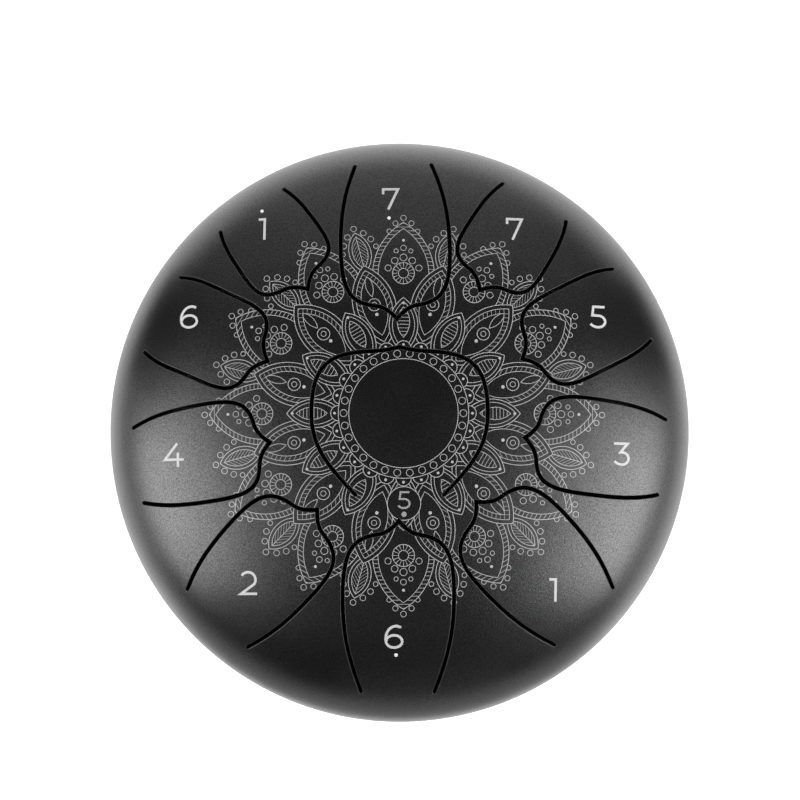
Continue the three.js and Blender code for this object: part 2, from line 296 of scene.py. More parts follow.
@dataclass(frozen=True)
class Dome:
    """The top shell's outside, a superellipse turned about the drum's axis."""

    radius: float
    rise: float
    rim_height: float
    fullness: float = 2.25
    wall: float = 2 * MM
    table_steps: int = 4000

    @classmethod
    def from_frame(cls) -> "Dome":
        """Takes the dome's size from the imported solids."""
        rim_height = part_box("top_shell")[0].z
        return cls(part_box("seam_weld")[1].x, cad_box[1].z - rim_height, rim_height)

    @cached_property
    def table(self) -> dict[str, np.ndarray]:
        """Distance along the profile from the crown, with the radius, height and normal there.

        Returns:
            The columns arc, radius, height, out and up, from the crown to the rim.
        """
        angle = np.linspace(0, math.pi / 2, self.table_steps)
        across = np.sin(angle) ** (2 / self.fullness)
        up = np.clip(np.cos(angle), 0, None) ** (2 / self.fullness)
        radius = self.radius * across
        height = self.rise * up
        step = np.hypot(np.diff(radius), np.diff(height))
        out = across ** (self.fullness - 1) / self.radius
        top = up ** (self.fullness - 1) / self.rise
        size = np.hypot(out, top)
        arc = np.concatenate([[0.0], np.cumsum(step)])
        return {"arc": arc, "radius": radius, "height": height, "out": out / size, "up": top / size}

    @property
    def edge_arc(self) -> float:
        """Distance along the profile from the crown to the rim."""
        return float(self.table["arc"][-1])

    def rescale(self, points: np.ndarray, key: str, new_key: str) -> np.ndarray:
        """Moves points, N by 2, towards or from the middle by two columns of the table.

        Args:
            points: The points.
            key: Column that their distance from the middle is in.
            new_key: Column that gives the new distance.

        Returns:
            The moved points.
        """
        size = np.hypot(points[:, 0], points[:, 1])
        scale = np.interp(size, self.table[key], self.table[new_key]) / np.maximum(size, SEAM)
        return points * scale[:, None]

    def flatten(self, plan: np.ndarray) -> np.ndarray:
        """Rolls points of the plan, N by 2, out flat from the crown."""
        return self.rescale(plan, "radius", "arc")

    def plan_of(self, flat: np.ndarray) -> np.ndarray:
        """Turns flat points, N by 2, back into points of the plan."""
        return self.rescale(flat, "arc", "radius")

    def drape(self, flat: np.ndarray) -> tuple[np.ndarray, np.ndarray]:
        """Curves flat points, N by 3, onto the dome.

        Args:
            flat: Points rolled out flat, with their height over the surface.

        Returns:
            The points on the dome and the dome's normals there.
        """
        arc = np.hypot(flat[:, 0], flat[:, 1])
        turn = np.arctan2(flat[:, 1], flat[:, 0])
        at = {key: np.interp(arc, self.table["arc"], self.table[key]) for key in self.table}
        cosine, sine = np.cos(turn), np.sin(turn)
        normal = np.column_stack([at["out"] * cosine, at["out"] * sine, at["up"]])
        height = self.rim_height + at["height"]
        surface = np.column_stack([at["radius"] * cosine, at["radius"] * sine, height])
        return surface + normal * flat[:, 2:3], normal

    def place(self, x: float, y: float) -> tuple[Vector, Vector]:
        """Point of the dome over one point of the plan, and its normal.

        Args:
            x: The point's place to the right.
            y: Its place away from the player.

        Returns:
            The point and the normal.
        """
        flat = self.flatten(np.array([[x, y]]))
        point, normal = self.drape(np.column_stack([flat, [0.0]]))
        return Vector(point[0]), Vector(normal[0])

    def press(self, piece: Object, sharp: float = 20.0) -> None:
        """Curves a flat plate onto the dome and gives its faces the dome's own normals.

        Args:
            piece: A plate that is cut into cells, modelled flat.
            sharp: Angle in degrees past which an edge stays sharp.
        """
        mesh = piece.data
        flat = np.zeros(len(mesh.vertices) * 3)
        mesh.vertices.foreach_get("co", flat)
        points, normals = self.drape(flat.reshape(-1, 3))
        facing = np.array([polygon.normal.z for polygon in mesh.polygons])
        mesh.vertices.foreach_set("co", points.ravel())
        mesh.update()
        smooth(piece, sharp)
        corner_normals = np.zeros((len(mesh.loops), 3))
        for polygon, upward in zip(mesh.polygons, facing):
            if abs(upward) > LEVEL:
                corners = list(polygon.vertices)
                span = slice(polygon.loop_start, polygon.loop_start + polygon.loop_total)
                corner_normals[span] = normals[corners] * math.copysign(1, upward)
        mesh.normals_split_custom_set(corner_normals)


def bezier(points: list[Pair], steps: int) -> tuple[np.ndarray, np.ndarray]:
    """Points and unit tangents of a cubic curve.

    Args:
        points: Its four control points.
        steps: Number of steps along it.

    Returns:
        The points and the tangents, each N by 2.
    """
    p0, p1, p2, p3 = (np.array(point) for point in points)
    t = np.linspace(0, 1, steps + 1)[:, None]
    s = 1 - t
    place = s**3 * p0 + 3 * s * s * t * p1 + 3 * s * t * t * p2 + t**3 * p3
    tangent = s * s * (p1 - p0) + 2 * s * t * (p2 - p1) + t * t * (p3 - p2)
    return place, tangent / np.linalg.norm(tangent, axis=1)[:, None]


@dataclass(frozen=True)
class Tongue:
    """One tongue's outline in (along, across) from its tip, and where it lies on the drum."""

    note: str
    azimuth: float
    tip_radius: float
    length: float
    belly_half: float
    root_half: float
    tip_depth: float = 5.6 * MM
    tip_half: float = 8 * MM
    root_taper: float = 0.35
    slit_width: float = 1.7 * MM
    bend_length: float = 12 * MM
    belly_share: float = 0.45
    tip_share: Pair = (0.53, 0.32)
    flank_share: Pair = (0.88, 0.62)
    flank_rise: float = 0.75
    flank_lead: float = 0.6
    belly_in: float = 0.75
    belly_out: float = 0.45
    root_lead: float = 0.3
    curve_steps: tuple[int, int, int] = (12, 26, 24)
    end_steps: int = 10
    root_steps: int = 15
    least_spacing: float = 0.15 * MM

    @property
    def body(self) -> str:
        """Name of the tongue's body and node."""
        return f"tongue_{self.note}"

    def curves(self) -> list[tuple[list[Pair], int]]:
        """Control points and steps of one side's three curves, from the tip to the root.

        Returns:
            Each curve's four points, in (along, across), and its number of steps.
        """
        tip_depth, tip_half = self.tip_depth, self.tip_half
        tip_out = (self.tip_share[0] * tip_depth, self.tip_share[1] * tip_half)
        flank_in = (self.flank_share[0] * tip_depth, self.flank_share[1] * tip_half)
        slope = (tip_depth - flank_in[0]) / (tip_half - flank_in[1])
        belly_at = self.belly_share * self.length
        rise = self.flank_rise * (self.belly_half - tip_half)
        run = self.length - belly_at
        lead = self.root_lead * run
        flank = (tip_depth, tip_half)
        flank_out = (tip_depth + self.flank_lead * slope * rise, tip_half + rise)
        belly_in = (belly_at - self.belly_in * (belly_at - tip_depth), self.belly_half)
        belly = (belly_at, self.belly_half)
        belly_out = (belly_at + self.belly_out * run, self.belly_half)
        root_in = (self.length - lead, self.root_half + lead * self.root_taper)
        root = (self.length, self.root_half)
        points = [
            [(0.0, 0.0), tip_out, flank_in, flank],
            [flank, flank_out, belly_in, belly],
            [belly, belly_out, root_in, root],
        ]
        return list(zip(points, self.curve_steps))

    def side(self, offset: float) -> np.ndarray:
        """One edge of the slit from tip to root.

        Args:
            offset: Distance out from the slit's middle, or in if it is under 0.

        Returns:
            Its points in (along, across), N by 2.
        """
        places, tangents = [], []
        for index, (points, steps) in enumerate(self.curves()):
            place, tangent = bezier(points, steps)
            places.append(place[index > 0 :])
            tangents.append(tangent[index > 0 :])
        place, tangent = np.concatenate(places), np.concatenate(tangents)
        moved = place + offset * np.column_stack([-tangent[:, 1], tangent[:, 0]])
        tip = np.array([[-offset / tangent[0, 1], 0.0]])
        clear = (moved[:, 1] > self.least_spacing) & (moved[:, 0] > tip[0, 0] + self.least_spacing)
        return np.concatenate([tip, moved[clear]])

    def round_end(self) -> np.ndarray:
        """The slit's round end at the root, from its inner edge to its outer one.

        Returns:
            Its points in (along, across), N by 2.
        """
        place, tangent = bezier(*self.curves()[2])
        end, along = place[-1], tangent[-1]
        across = np.array([-along[1], along[0]])
        angle = np.linspace(0, math.pi, self.end_steps)[:, None]
        return end + self.slit_width / 2 * (np.sin(angle) * along - np.cos(angle) * across)

    def root_line(self) -> np.ndarray:
        """The bending line, from one slit's inner edge to the other's.

        Returns:
            Its points in (along, across), N by 2.
        """
        corner = self.round_end()[0]
        share = np.linspace(-1, 1, self.root_steps)
        return np.column_stack([np.full(len(share), corner[0]), corner[1] * share])

    @property
    def axes(self) -> tuple[np.ndarray, np.ndarray]:
        """Directions of the plan along the tongue and across it.

        Returns:
            The two unit vectors.
        """
        angle = math.radians(self.azimuth)
        out = np.array([math.cos(angle), math.sin(angle)])
        return out, np.array([-out[1], out[0]])

    def to_plan(self, points: np.ndarray) -> np.ndarray:
        """Turns (along, across) into points of the drum's plan."""
        out, side = self.axes
        return (self.tip_radius + points[:, :1]) * out + points[:, 1:] * side

    def from_plan(self, plan: np.ndarray) -> np.ndarray:
        """Turns points of the drum's plan into (along, across)."""
        out, side = self.axes
        return np.column_stack([plan @ out - self.tip_radius, plan @ side])

    def closed(self, half: np.ndarray, tip: np.ndarray) -> np.ndarray:
        """Outline in the plan from the root line, one side, the tip and the side's mirror image."""
        return self.to_plan(np.concatenate([self.root_line(), half, tip, half[::-1] * (1, -1)]))

    def opening(self) -> np.ndarray:
        """Outline of the opening that the tongue leaves in the shell, in the plan."""
        edge = self.side(self.slit_width / 2)
        return self.closed(np.concatenate([self.round_end()[1:-1], edge[:0:-1]]), edge[:1])

    def outline(self) -> np.ndarray:
        """Outline of the tongue itself, in the plan."""
        edge = self.side(-self.slit_width / 2)
        return self.closed(edge[-2:0:-1], edge[:1])

    def on_root(self, plan: np.ndarray) -> np.ndarray:
        """Tells which points of the plan lie on the bending line.

        Args:
            plan: The points, N by 2.

        Returns:
            True for each point that does.
        """
        line = self.root_line()
        local = self.from_plan(plan)
        level = np.abs(local[:, 0] - line[0, 0]) < NEAR
        return level & (np.abs(local[:, 1]) < line[-1, 1] + NEAR)

    def bend_span(self, dome: Dome) -> tuple[Vector, Vector]:
        """The points on the dome between which the tongue starts to bend and is free.

        Args:
            dome: The drum's dome.

        Returns:
            The point at the root, and the one from which the tongue is free.
        """
        start = self.root_line()[0, 0]
        ends = self.to_plan(np.array([[start, 0.0], [start - self.bend_length, 0.0]]))
        return dome.place(*ends[0])[0], dome.place(*ends[1])[0]


@dataclass(frozen=True)
class TongueSet:
    """The eleven tongues: ten rooted near the rim, and one at the crown."""

    rim_radius: float
    root_inset: float = 12.7 * MM
    centre_tip: float = 32 * MM
    centre_root: float = 30 * MM

    def outer(self, note: str, azimuth: float, tip: float, half: float, root: float) -> Tongue:
        """One of the outer tongues.

        Args:
            note: Its note's name.
            azimuth: Its direction in degrees.
            tip: Distance of its tip from the axis, in millimetres.
            half: Half of the angle that it fills at its widest, in degrees.
            root: Half of the angle between its slits' ends, in degrees.

        Returns:
            The tongue.
        """
        root_radius = self.rim_radius - self.root_inset
        length = root_radius * math.cos(math.radians(root)) - tip * MM
        belly_at = tip * MM + Tongue.belly_share * length
        belly_half = belly_at * math.tan(math.radians(half))
        root_half = root_radius * math.sin(math.radians(root))
        return Tongue(note, azimuth, tip * MM, length, belly_half, root_half)

    def all(self) -> list[Tongue]:
        """Every tongue, the centre one first.

        Returns:
            The tongues.
        """
        centre = Tongue(
            note="low_5",
            azimuth=-90,
            tip_radius=-self.centre_tip,
            length=self.centre_tip + self.centre_root,
            belly_half=37 * MM,
            root_half=18.5 * MM,
            tip_depth=1.8 * MM,
            tip_half=12 * MM,
            root_taper=0.95,
        )
        # Note, direction, distance of the tip, half angle at the widest and half angle at the root
        return [
            centre,
            self.outer("low_6", -90.4, 41, 17.7, 7.9),
            self.outer("low_7", 91.4, 44, 17.1, 8.3),
            self.outer("1", -45.8, 46, 17.2, 8.8),
            self.outer("2", -133.6, 50, 16.4, 9),
            self.outer("3", -6.5, 53, 14.2, 8.2),
            self.outer("4", -171.7, 55, 14.2, 8.2),
            self.outer("5", 27.9, 58.5, 13.4, 8.8),
            self.outer("6", 154.6, 61.5, 12.9, 9),
            self.outer("7", 59.1, 66, 12.3, 8),
            self.outer("high_1", 124.2, 69, 12.2, 8.3),
        ]


@dataclass
class TopShell:
    """The pressed top shell and the tongues that are cut in it."""

    dome: Dome
    tongues: list[Tongue]
    edge_round: float = 0.16 * MM
    groove: float = 1.1 * MM
    rim_steps: int = 256
    cell: float = 3.4 * MM
    steep: float = 0.2

    def build_shell(self) -> Object:
        """Models the shell flat, cuts the openings, rounds their edges and presses it.

        Returns:
            The shell.
        """
        rim = regular_outline(self.dome.edge_arc, self.rim_steps)
        shell = add_plate("top_shell_coated", rim, 0.0, -self.dome.wall)
        for tongue in self.tongues:
            outline = self.dome.flatten(tongue.opening())
            tool = add_plate("opening", outline, self.dome.wall, -2 * self.dome.wall)
            combine(shell, tool, "DIFFERENCE")
        self.round_slits(shell, self.tongues)
        rim_edges = set()
        for edge in upper_edges(shell):
            if not self.is_inside(shell, edge):
                rim_edges.add(edge.index)
        bevel_edges(shell, rim_edges, self.groove, segments=1)
        return self.form(shell)

    def is_inside(self, plate: Object, edge: MeshEdge) -> bool:
        """Tells whether an edge of a flat plate lies inside the rim."""
        first = plate.data.vertices[edge.vertices[0]].co
        return math.hypot(first.x, first.y) < self.dome.edge_arc - self.groove

    def round_slits(self, plate: Object, tongues: list[Tongue]) -> None:
        """Rounds a flat plate's upper edges along the slits, and leaves the bending lines sharp.

        Args:
            plate: The plate.
            tongues: The tongues whose bending lines it has.
        """
        chosen = set()
        for edge in upper_edges(plate):
            ends = np.array([plate.data.vertices[index].co for index in edge.vertices])
            is_root = any(self.is_root(tongue, ends) for tongue in tongues)
            if self.is_inside(plate, edge) and not is_root:
                chosen.add(edge.index)
        bevel_edges(plate, chosen, self.edge_round, segments=2)

    def form(self, plate: Object) -> Object:
        """Cuts a flat plate into cells, numbers its faces and presses it.

        Args:
            plate: The plate.

        Returns:
            The same plate, pressed.
        """
        cut_grid(plate, self.cell)
        self.mark_faces(plate)
        self.dome.press(plate)
        return plate

    def mark_faces(self, plate: Object) -> None:
        """Numbers a flat plate's faces: upper ones 0, rounded slit edges 2 and the others 1.

        Args:
            plate: The plate.
        """
        near_rim = self.dome.edge_arc - 2 * self.groove
        for polygon in plate.data.polygons:
            upward = polygon.normal.z
            rounded = upward > self.steep and math.hypot(*polygon.center.xy) < near_rim
            polygon.material_index = 0 if upward > LEVEL else 2 if rounded else 1

    def is_root(self, tongue: Tongue, ends: np.ndarray) -> bool:
        """Tells whether an edge of the flat plate lies on a tongue's bending line."""
        return bool(tongue.on_root(self.dome.plan_of(ends[:, :2])).all())

    def build_tongue(self, tongue: Tongue) -> Object:
        """Models one tongue flat, rounds its slit edges and presses it.

        Args:
            tongue: The tongue.

        Returns:
            Its sheet.
        """
        outline = self.dome.flatten(tongue.outline())
        sheet = add_plate(f"{tongue.body}_coated", outline, 0.0, -self.dome.wall)
        self.round_slits(sheet, [tongue])
        return self.form(sheet)

    def dress(self, printed: Material, coat: Material, thin: Material) -> list[Object]:
        """Builds the shell and the tongues, coats them and ties the shell to the frame.

        Args:
            printed: The coat with its ornament, for the upper faces.
            coat: The plain coat, for the slits' walls and the underside.
            thin: A paler coat for the slits' rounded edges, partly coat drawn thin and mostly a painted
                highlight along the slits.

        Returns:
            The pieces.
        """
        shell = self.build_shell()
        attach(shell, "shell")
        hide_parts("top_shell")
        pieces = [shell]
        for tongue in self.tongues:
            sheet = self.build_tongue(tongue)
            start, end = tongue.bend_span(self.dome)
            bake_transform(sheet)
            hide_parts(tongue.body)
            pieces.append(sheet)
        for piece in pieces:
            for finish in (printed, coat, thin):
                piece.data.materials.append(finish)
        return pieces


@dataclass
class BottomShell:
    """The bowl with its flat base, round port and the lap inside the top shell."""

    dome: Dome
    fullness: float = 2.1
    fit_gap: float = 0.3 * MM
    lap_height: float = 6 * MM
    lap_lead: float = 1 * MM
    lap_depth: float = 6 * MM
    groove_height: float = 1.2 * MM
    groove_depth: float = 1.1 * MM
    base_radius: float = 75 * MM
    port_radius: float = 32 * MM
    hole_radius: float = 2.35 * MM
    hole_steps: int = 32
    edge_round: float = 0.6 * MM
    turn_steps: int = 192
    curve_steps: int = 28
    sharp: float = 30

    @cached_property
    def base(self) -> float:
        """Height of the base's underside."""
        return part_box("bottom_shell")[0].z

    @property
    def drop(self) -> float:
        """Depth of the bowl under the rim."""
        return self.dome.rim_height - self.base

    def bowl_at(self, angle: float, inset: float) -> Pair:
        """Point of the bowl's section, moved in along its normal.

        Args:
            angle: 0 at the base's edge, a right angle at the rim.
            inset: Distance in from the outside.

        Returns:
            The point as (radius, height).
        """
        reach = self.dome.radius - self.base_radius
        across = math.sin(angle) ** (2 / self.fullness)
        down = max(0.0, math.cos(angle)) ** (2 / self.fullness)
        out = across ** (self.fullness - 1) / reach
        under = down ** (self.fullness - 1) / self.drop
        size = math.hypot(out, under)
        radius = self.base_radius + reach * across - inset * out / size
        return radius, self.dome.rim_height - self.drop * down + inset * under / size

    def angle_at(self, depth: float) -> float:
        """The section's angle at one depth under the rim."""
        return math.acos((depth / self.drop) ** (self.fullness / 2))

    def profile(self) -> list[Pair]:
        """The bowl's section, round its edges.

        Returns:
            Its points, as (radius, height) pairs.
        """
        wall, rim = self.dome.wall, self.dome.rim_height
        shoulder = rim - self.fit_gap
        height = self.lap_height / self.dome.rise
        lap = self.dome.radius * (1 - height**self.dome.fullness) ** (1 / self.dome.fullness)
        lap_out = lap - wall - self.fit_gap
        lap_in = lap_out - wall
        outer_end = self.angle_at(self.fit_gap + self.groove_height)
        inner_end = self.angle_at(self.fit_gap + self.lap_depth)
        share = [step / self.curve_steps for step in range(self.curve_steps + 1)]
        outside = [self.bowl_at(outer_end * part, 0.0) for part in share]
        inside = [self.bowl_at(inner_end * part, wall) for part in reversed(share)]
        edge = self.edge_round
        port = self.port_radius + edge
        return [
            *fillet((port, self.base + edge), edge, 180, 90),
            *outside,
            (self.dome.radius - self.groove_depth, shoulder),
            (lap_out, shoulder),
            (lap_out, rim + self.lap_height - self.lap_lead),
            (lap_out - self.lap_lead / 2, rim + self.lap_height),
            (lap_in, rim + self.lap_height),
            (lap_in, shoulder - wall),
            *inside,
            *fillet((port, self.base + wall - edge), edge, 90, 90),
        ]

    def dress(self, coat: Material) -> list[Object]:
        """Spins the bowl, drills it for the feet's screws and coats it.

        Args:
            coat: The coat's material.

        Returns:
            The bowl.
        """
        bowl = turn_profile("bottom_shell_coated", self.profile(), self.turn_steps)
        wall = self.dome.wall
        for low, high in (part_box(f"foot_screw_{index}") for index in FEET):
            middle = (low + high) / 2
            ring = regular_outline(self.hole_radius, self.hole_steps) + np.array(middle.xy)
            drill = add_plate("drill", ring, self.base + 2 * wall, self.base - wall)
            combine(bowl, drill, "DIFFERENCE")
        smooth(bowl, self.sharp)
        bowl.data.materials.append(coat)
        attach(bowl, "shell")
        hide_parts("bottom_shell")
        return [bowl]


@dataclass
class SeamWeld:
    """The bead that closes the groove between the two shells."""

    dome: Dome
    depth: float = 0.9 * MM
    half_height: float = 1.05 * MM
    crown: float = 0.25 * MM
    sink: float = 0.05 * MM
    curve_steps: int = 12
    turn_steps: int = 256
    sharp: float = 50

    def dress(self, coat: Material) -> list[Object]:
        """Spins the bead, low and round, and coats it.

        Args:
            coat: The coat's material.

        Returns:
            The bead.
        """
        low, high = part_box("seam_weld")
        middle = (low.z + high.z) / 2
        outer = self.dome.radius
        profile = [(outer - self.depth, middle)]
        for step in range(self.curve_steps + 1):
            angle = math.pi * (step / self.curve_steps - 0.5)
            bulge = self.crown * math.cos(angle) ** 2
            profile.append((outer - self.sink + bulge, middle + self.half_height * math.sin(angle)))
        bead = turn_profile("seam_weld_coated", profile, self.turn_steps)
        smooth(bead, self.sharp)
        bead.data.materials.append(coat)
        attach(bead, "shell")
        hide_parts("seam_weld")
        return [bead]


@dataclass
class Foot:
    """One rubber foot with its screw, washer and nut."""

    index: int
    top_radius: float = 12 * MM
    bottom_radius: float = 10 * MM
    height: float = 9 * MM
    edge: float = 1.4 * MM
    draft: float = 8
    recess_radius: float = 6 * MM
    recess_depth: float = 5 * MM
    recess_lip: float = 0.5 * MM
    hole_radius: float = 2.35 * MM
    shank_radius: float = 2 * MM
    shank_length: float = 12 * MM
    shank_point: float = 0.5 * MM
    shank_taper: float = 0.4 * MM
    head_radius: float = 4 * MM
    head_height: float = 2.6 * MM
    head_round: float = 1.6 * MM
    thread_pitch: float = 0.7 * MM
    thread_depth: float = 0.3 * MM
    socket_width: float = 2.5 * MM
    socket_depth: float = 1.4 * MM
    washer_radius: float = 5.5 * MM
    washer_thickness: float = 1 * MM
    washer_edge: float = 0.2 * MM
    sheet: float = 2 * MM
    nut_width: float = 7 * MM
    nut_height: float = 3.2 * MM
    nut_chamfer: tuple[float, float, float] = (-0.35 * MM, 0.2 * MM, 0.4 * MM)
    rubber_steps: int = 64
    metal_steps: int = 48
    sharp: float = 32

    def move_to(self, piece: Object) -> None:
        """Moves a piece that was modelled on the axis to the foot's place."""
        low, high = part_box(f"foot_{self.index}")
        piece.data.transform(Matrix.Translation(((low.x + high.x) / 2, (low.y + high.y) / 2, 0)))

    def build_rubber(self) -> Object:
        """Spins the moulded foot, tapered and rounded, with its recess underneath.

        Returns:
            The foot, on the axis.
        """
        edge, lip, draft = self.edge, self.recess_lip, self.draft
        top_edge = edge / 2
        profile = [
            (self.hole_radius, self.recess_depth),
            (self.recess_radius, self.recess_depth),
            *fillet((self.recess_radius + lip, lip), lip, 180, 90),
            *fillet((self.bottom_radius - edge, edge), edge, -90, 90 - draft),
            *fillet((self.top_radius - top_edge, self.height - top_edge), top_edge, -draft, 90 + draft),
            (self.hole_radius, self.height),
        ]
        return turn_profile(f"foot_{self.index}_moulded", profile, self.rubber_steps)

    def hexagon(self, width: float) -> np.ndarray:
        """Outline of a hexagon of one width across its flats."""
        return regular_outline(width / 2 / math.cos(math.pi / 6), 6)

    def build_screw(self) -> Object:
        """Spins a button-head screw with a threaded shank, and sinks its hexagon socket.

        Returns:
            The screw, on the axis.
        """
        seat = self.recess_depth - self.washer_thickness
        under, end = seat - self.head_height, seat + self.shank_length
        head, shank, pitch, point = self.head_radius, self.shank_radius, self.thread_pitch, self.shank_point
        dome = fillet((head - self.head_round, under + self.head_round), self.head_round, -90, 90)
        thread = []
        turns = int((end - seat - 2 * point) / pitch)
        for step in range(turns):
            start = seat + point + step * pitch
            thread += [(shank, start), (shank - self.thread_depth, start + pitch / 2)]
        profile = [(0.0, under), *dome, (head, seat), (shank, seat), *thread]
        profile += [(shank, end - self.shank_taper), (shank - point, end), (0.0, end)]
        screw = turn_profile(f"foot_screw_{self.index}_turned", profile, self.metal_steps)
        hexagon = self.hexagon(self.socket_width)
        socket = add_plate("socket", hexagon, under + self.socket_depth, under - self.socket_depth)
        combine(screw, socket, "DIFFERENCE")
        return screw

    def build_washer(self) -> Object:
        """Spins a flat washer with rounded edges.

        Returns:
            The washer, on the axis.
        """
        edge = self.washer_edge
        inner, outer = self.hole_radius + edge, self.washer_radius - edge
        low, high = self.recess_depth - self.washer_thickness + edge, self.recess_depth - edge
        corners = ((inner, low, 180), (outer, low, -90), (outer, high, 0), (inner, high, 90))
        profile = []
        for radius, height, start in corners:
            profile += fillet((radius, height), edge, start, 90)
        return turn_profile(f"foot_washer_{self.index}_stamped", profile, self.metal_steps)

    def build_nut(self) -> Object:
        """Models a hexagon nut: a six-sided plate, chamfered by a turned blank and drilled.

        Returns:
            The nut, on the axis.
        """
        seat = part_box("bottom_shell")[0].z + self.sheet
        top = seat + self.nut_height
        hexagon = self.hexagon(self.nut_width)
        nut = add_plate(f"foot_nut_{self.index}_pressed", hexagon, top, seat)
        inward, outward, depth = self.nut_chamfer
        corner = hexagon[0, 0]
        half = [(corner + inward, seat), (corner + outward, seat + depth)]
        other = [(corner + outward, top - depth), (corner + inward, top)]
        profile = [(self.hole_radius, seat), *half, *other, (self.hole_radius, top)]
        combine(nut, turn_profile("blank", profile, self.metal_steps), "INTERSECT")
        return nut

    def dress(self, rubber: Material, zinc: Material) -> list[Object]:
        """Builds the foot and its fasteners, sets them in place and ties them to the frame.

        Args:
            rubber: The foot's material.
            zinc: The fasteners' material.

        Returns:
            The pieces.
        """
        made = [
            (self.build_rubber(), f"foot_{self.index}", rubber, Slot.RUBBER),
            (self.build_screw(), f"foot_screw_{self.index}", zinc, Slot.ZINC),
            (self.build_washer(), f"foot_washer_{self.index}", zinc, Slot.ZINC),
            (self.build_nut(), f"foot_nut_{self.index}", zinc, Slot.ZINC),
        ]
        for piece, node, material, slot in made:
            self.move_to(piece)
            smooth(piece, self.sharp)
            piece.data.materials.append(material)
            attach(piece, "shell")
            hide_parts(node)
        return [piece for piece, *_ in made]


@dataclass
class TuningMagnet:
    """The disc magnet glued under one tongue near its tip."""

    dome: Dome
    tongue: Tongue
    radius: float = 5 * MM
    thickness: float = 2 * MM
    from_tip: float = 16 * MM
    glue: float = 0.45 * MM
    edge: float = 0.3 * MM
    turn_steps: int = 48
    sharp: float = 35

    def dress(self, nickel: Material) -> list[Object]:
        """Spins the disc, lays it along the dome's underside and ties it to its tongue.

        Args:
            nickel: The magnet's material.

        Returns:
            The magnet.
        """
        top = -self.dome.wall - self.glue
        bottom = top - self.thickness
        edge = self.edge
        profile = [
            (0.0, bottom),
            *fillet((self.radius - edge, bottom + edge), edge, -90, 90),
            *fillet((self.radius - edge, top - edge), edge, 0, 90),
            (0.0, top),
        ]
        disc = turn_profile(f"tuning_magnet_{self.tongue.note}_plated", profile, self.turn_steps)
        seat = self.tongue.to_plan(np.array([[self.from_tip, 0.0]]))[0]
        point, normal = self.dome.place(*seat)
        turn = Vector((0, 0, 1)).rotation_difference(normal).to_matrix().to_4x4()
        disc.data.transform(Matrix.Translation(point) @ turn)
        smooth(disc, self.sharp)
        disc.data.materials.append(nickel)
        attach(disc, self.tongue.body)
        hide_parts(f"tuning_magnet_{self.tongue.note}")
        return [disc]


def arc(centre: Pair, radii: Pair, start: float, end: float) -> list[Pair]:
    """Points of an elliptical arc.

    Args:
        centre: Its centre.
        radii: Its half width and half height.
        start: Angle of its first point, in degrees.
        end: Angle of its last point.

    Returns:
        The points, a few degrees apart.
    """
    spacing = 8
    steps = max(2, round(abs(end - start) / spacing))
    angles = [math.radians(start + (end - start) * step / steps) for step in range(steps + 1)]
    return [(centre[0] + radii[0] * math.cos(a), centre[1] + radii[1] * math.sin(a)) for a in angles]


def stroke_outline(line: np.ndarray, width: float) -> np.ndarray:
    """Outline of a stroke of even width with square ends and mitred corners.

    Args:
        line: Points of its middle line, N by 2.
        width: Its width.

    Returns:
        Points of the outline, N by 2.
    """
    along = np.diff(line, axis=0)
    along /= np.linalg.norm(along, axis=1)[:, None]
    side = np.column_stack([-along[:, 1], along[:, 0]])
    before = np.concatenate([side[:1], side])
    after = np.concatenate([side, side[-1:]])
    mitre = (before + after) / (1 + np.sum(before * after, axis=1))[:, None]
    return np.concatenate([line + mitre * width / 2, (line - mitre * width / 2)[::-1]])


@dataclass(frozen=True)
class Digits:
    """Plain thin digits as middle lines of strokes, in units of the lines' height."""

    stroke: float = 0.12

    def lines(self, digit: int) -> list[list[Pair]]:
        """The open strokes of one digit.

        Args:
            digit: The digit, 1 to 7.

        Returns:
            Points of each stroke's middle line, as (across, up) pairs.
        """
        foot = -self.stroke / 2
        bowl_left = (0.42, 0.29)
        shapes = {
            1: [[(-0.31, 1), (0, 1), (0, foot)]],
            2: [[*arc((0.37, 0.67), (0.36, 0.36), 147, -36), (0.02, 0), (0.8, 0)]],
            3: [
                [
                    (0, 1),
                    (0.68, 1),
                    (0.33, 0.58),
                    *arc((0.41, 0.29), (0.32, 0.29), 84, -90),
                    *arc((0.41, 0.29), bowl_left, -98, -154),
                ]
            ],
            4: [
                [(0.62, 1 - foot), (0, 0.29), (0.95, 0.29)],
                [(0.66, 0.62), (0.66, foot)],
            ],
            5: [
                [
                    (0.66, 1),
                    (0.1, 1),
                    (0.045, 0.57),
                    (0.24, 0.57),
                    *arc((0.33, 0.285), (0.345, 0.285), 90, -90),
                    *arc((0.33, 0.285), bowl_left, -98, -154),
                ]
            ],
            6: [[*arc((0.5, 0.42), (0.5, 0.61), 62, 180), (0.02, 0.29)]],
            7: [[(0, 0.74), (0, 1), (0.72, 1), (0.25, foot)]],
        }
        return shapes[digit]

    def ring(self, digit: int) -> tuple[Pair, Pair] | None:
        """Centre and radii of the closed stroke of one digit, if it has one."""
        return ((0.405, 0.295), (0.385, 0.295)) if digit == 6 else None


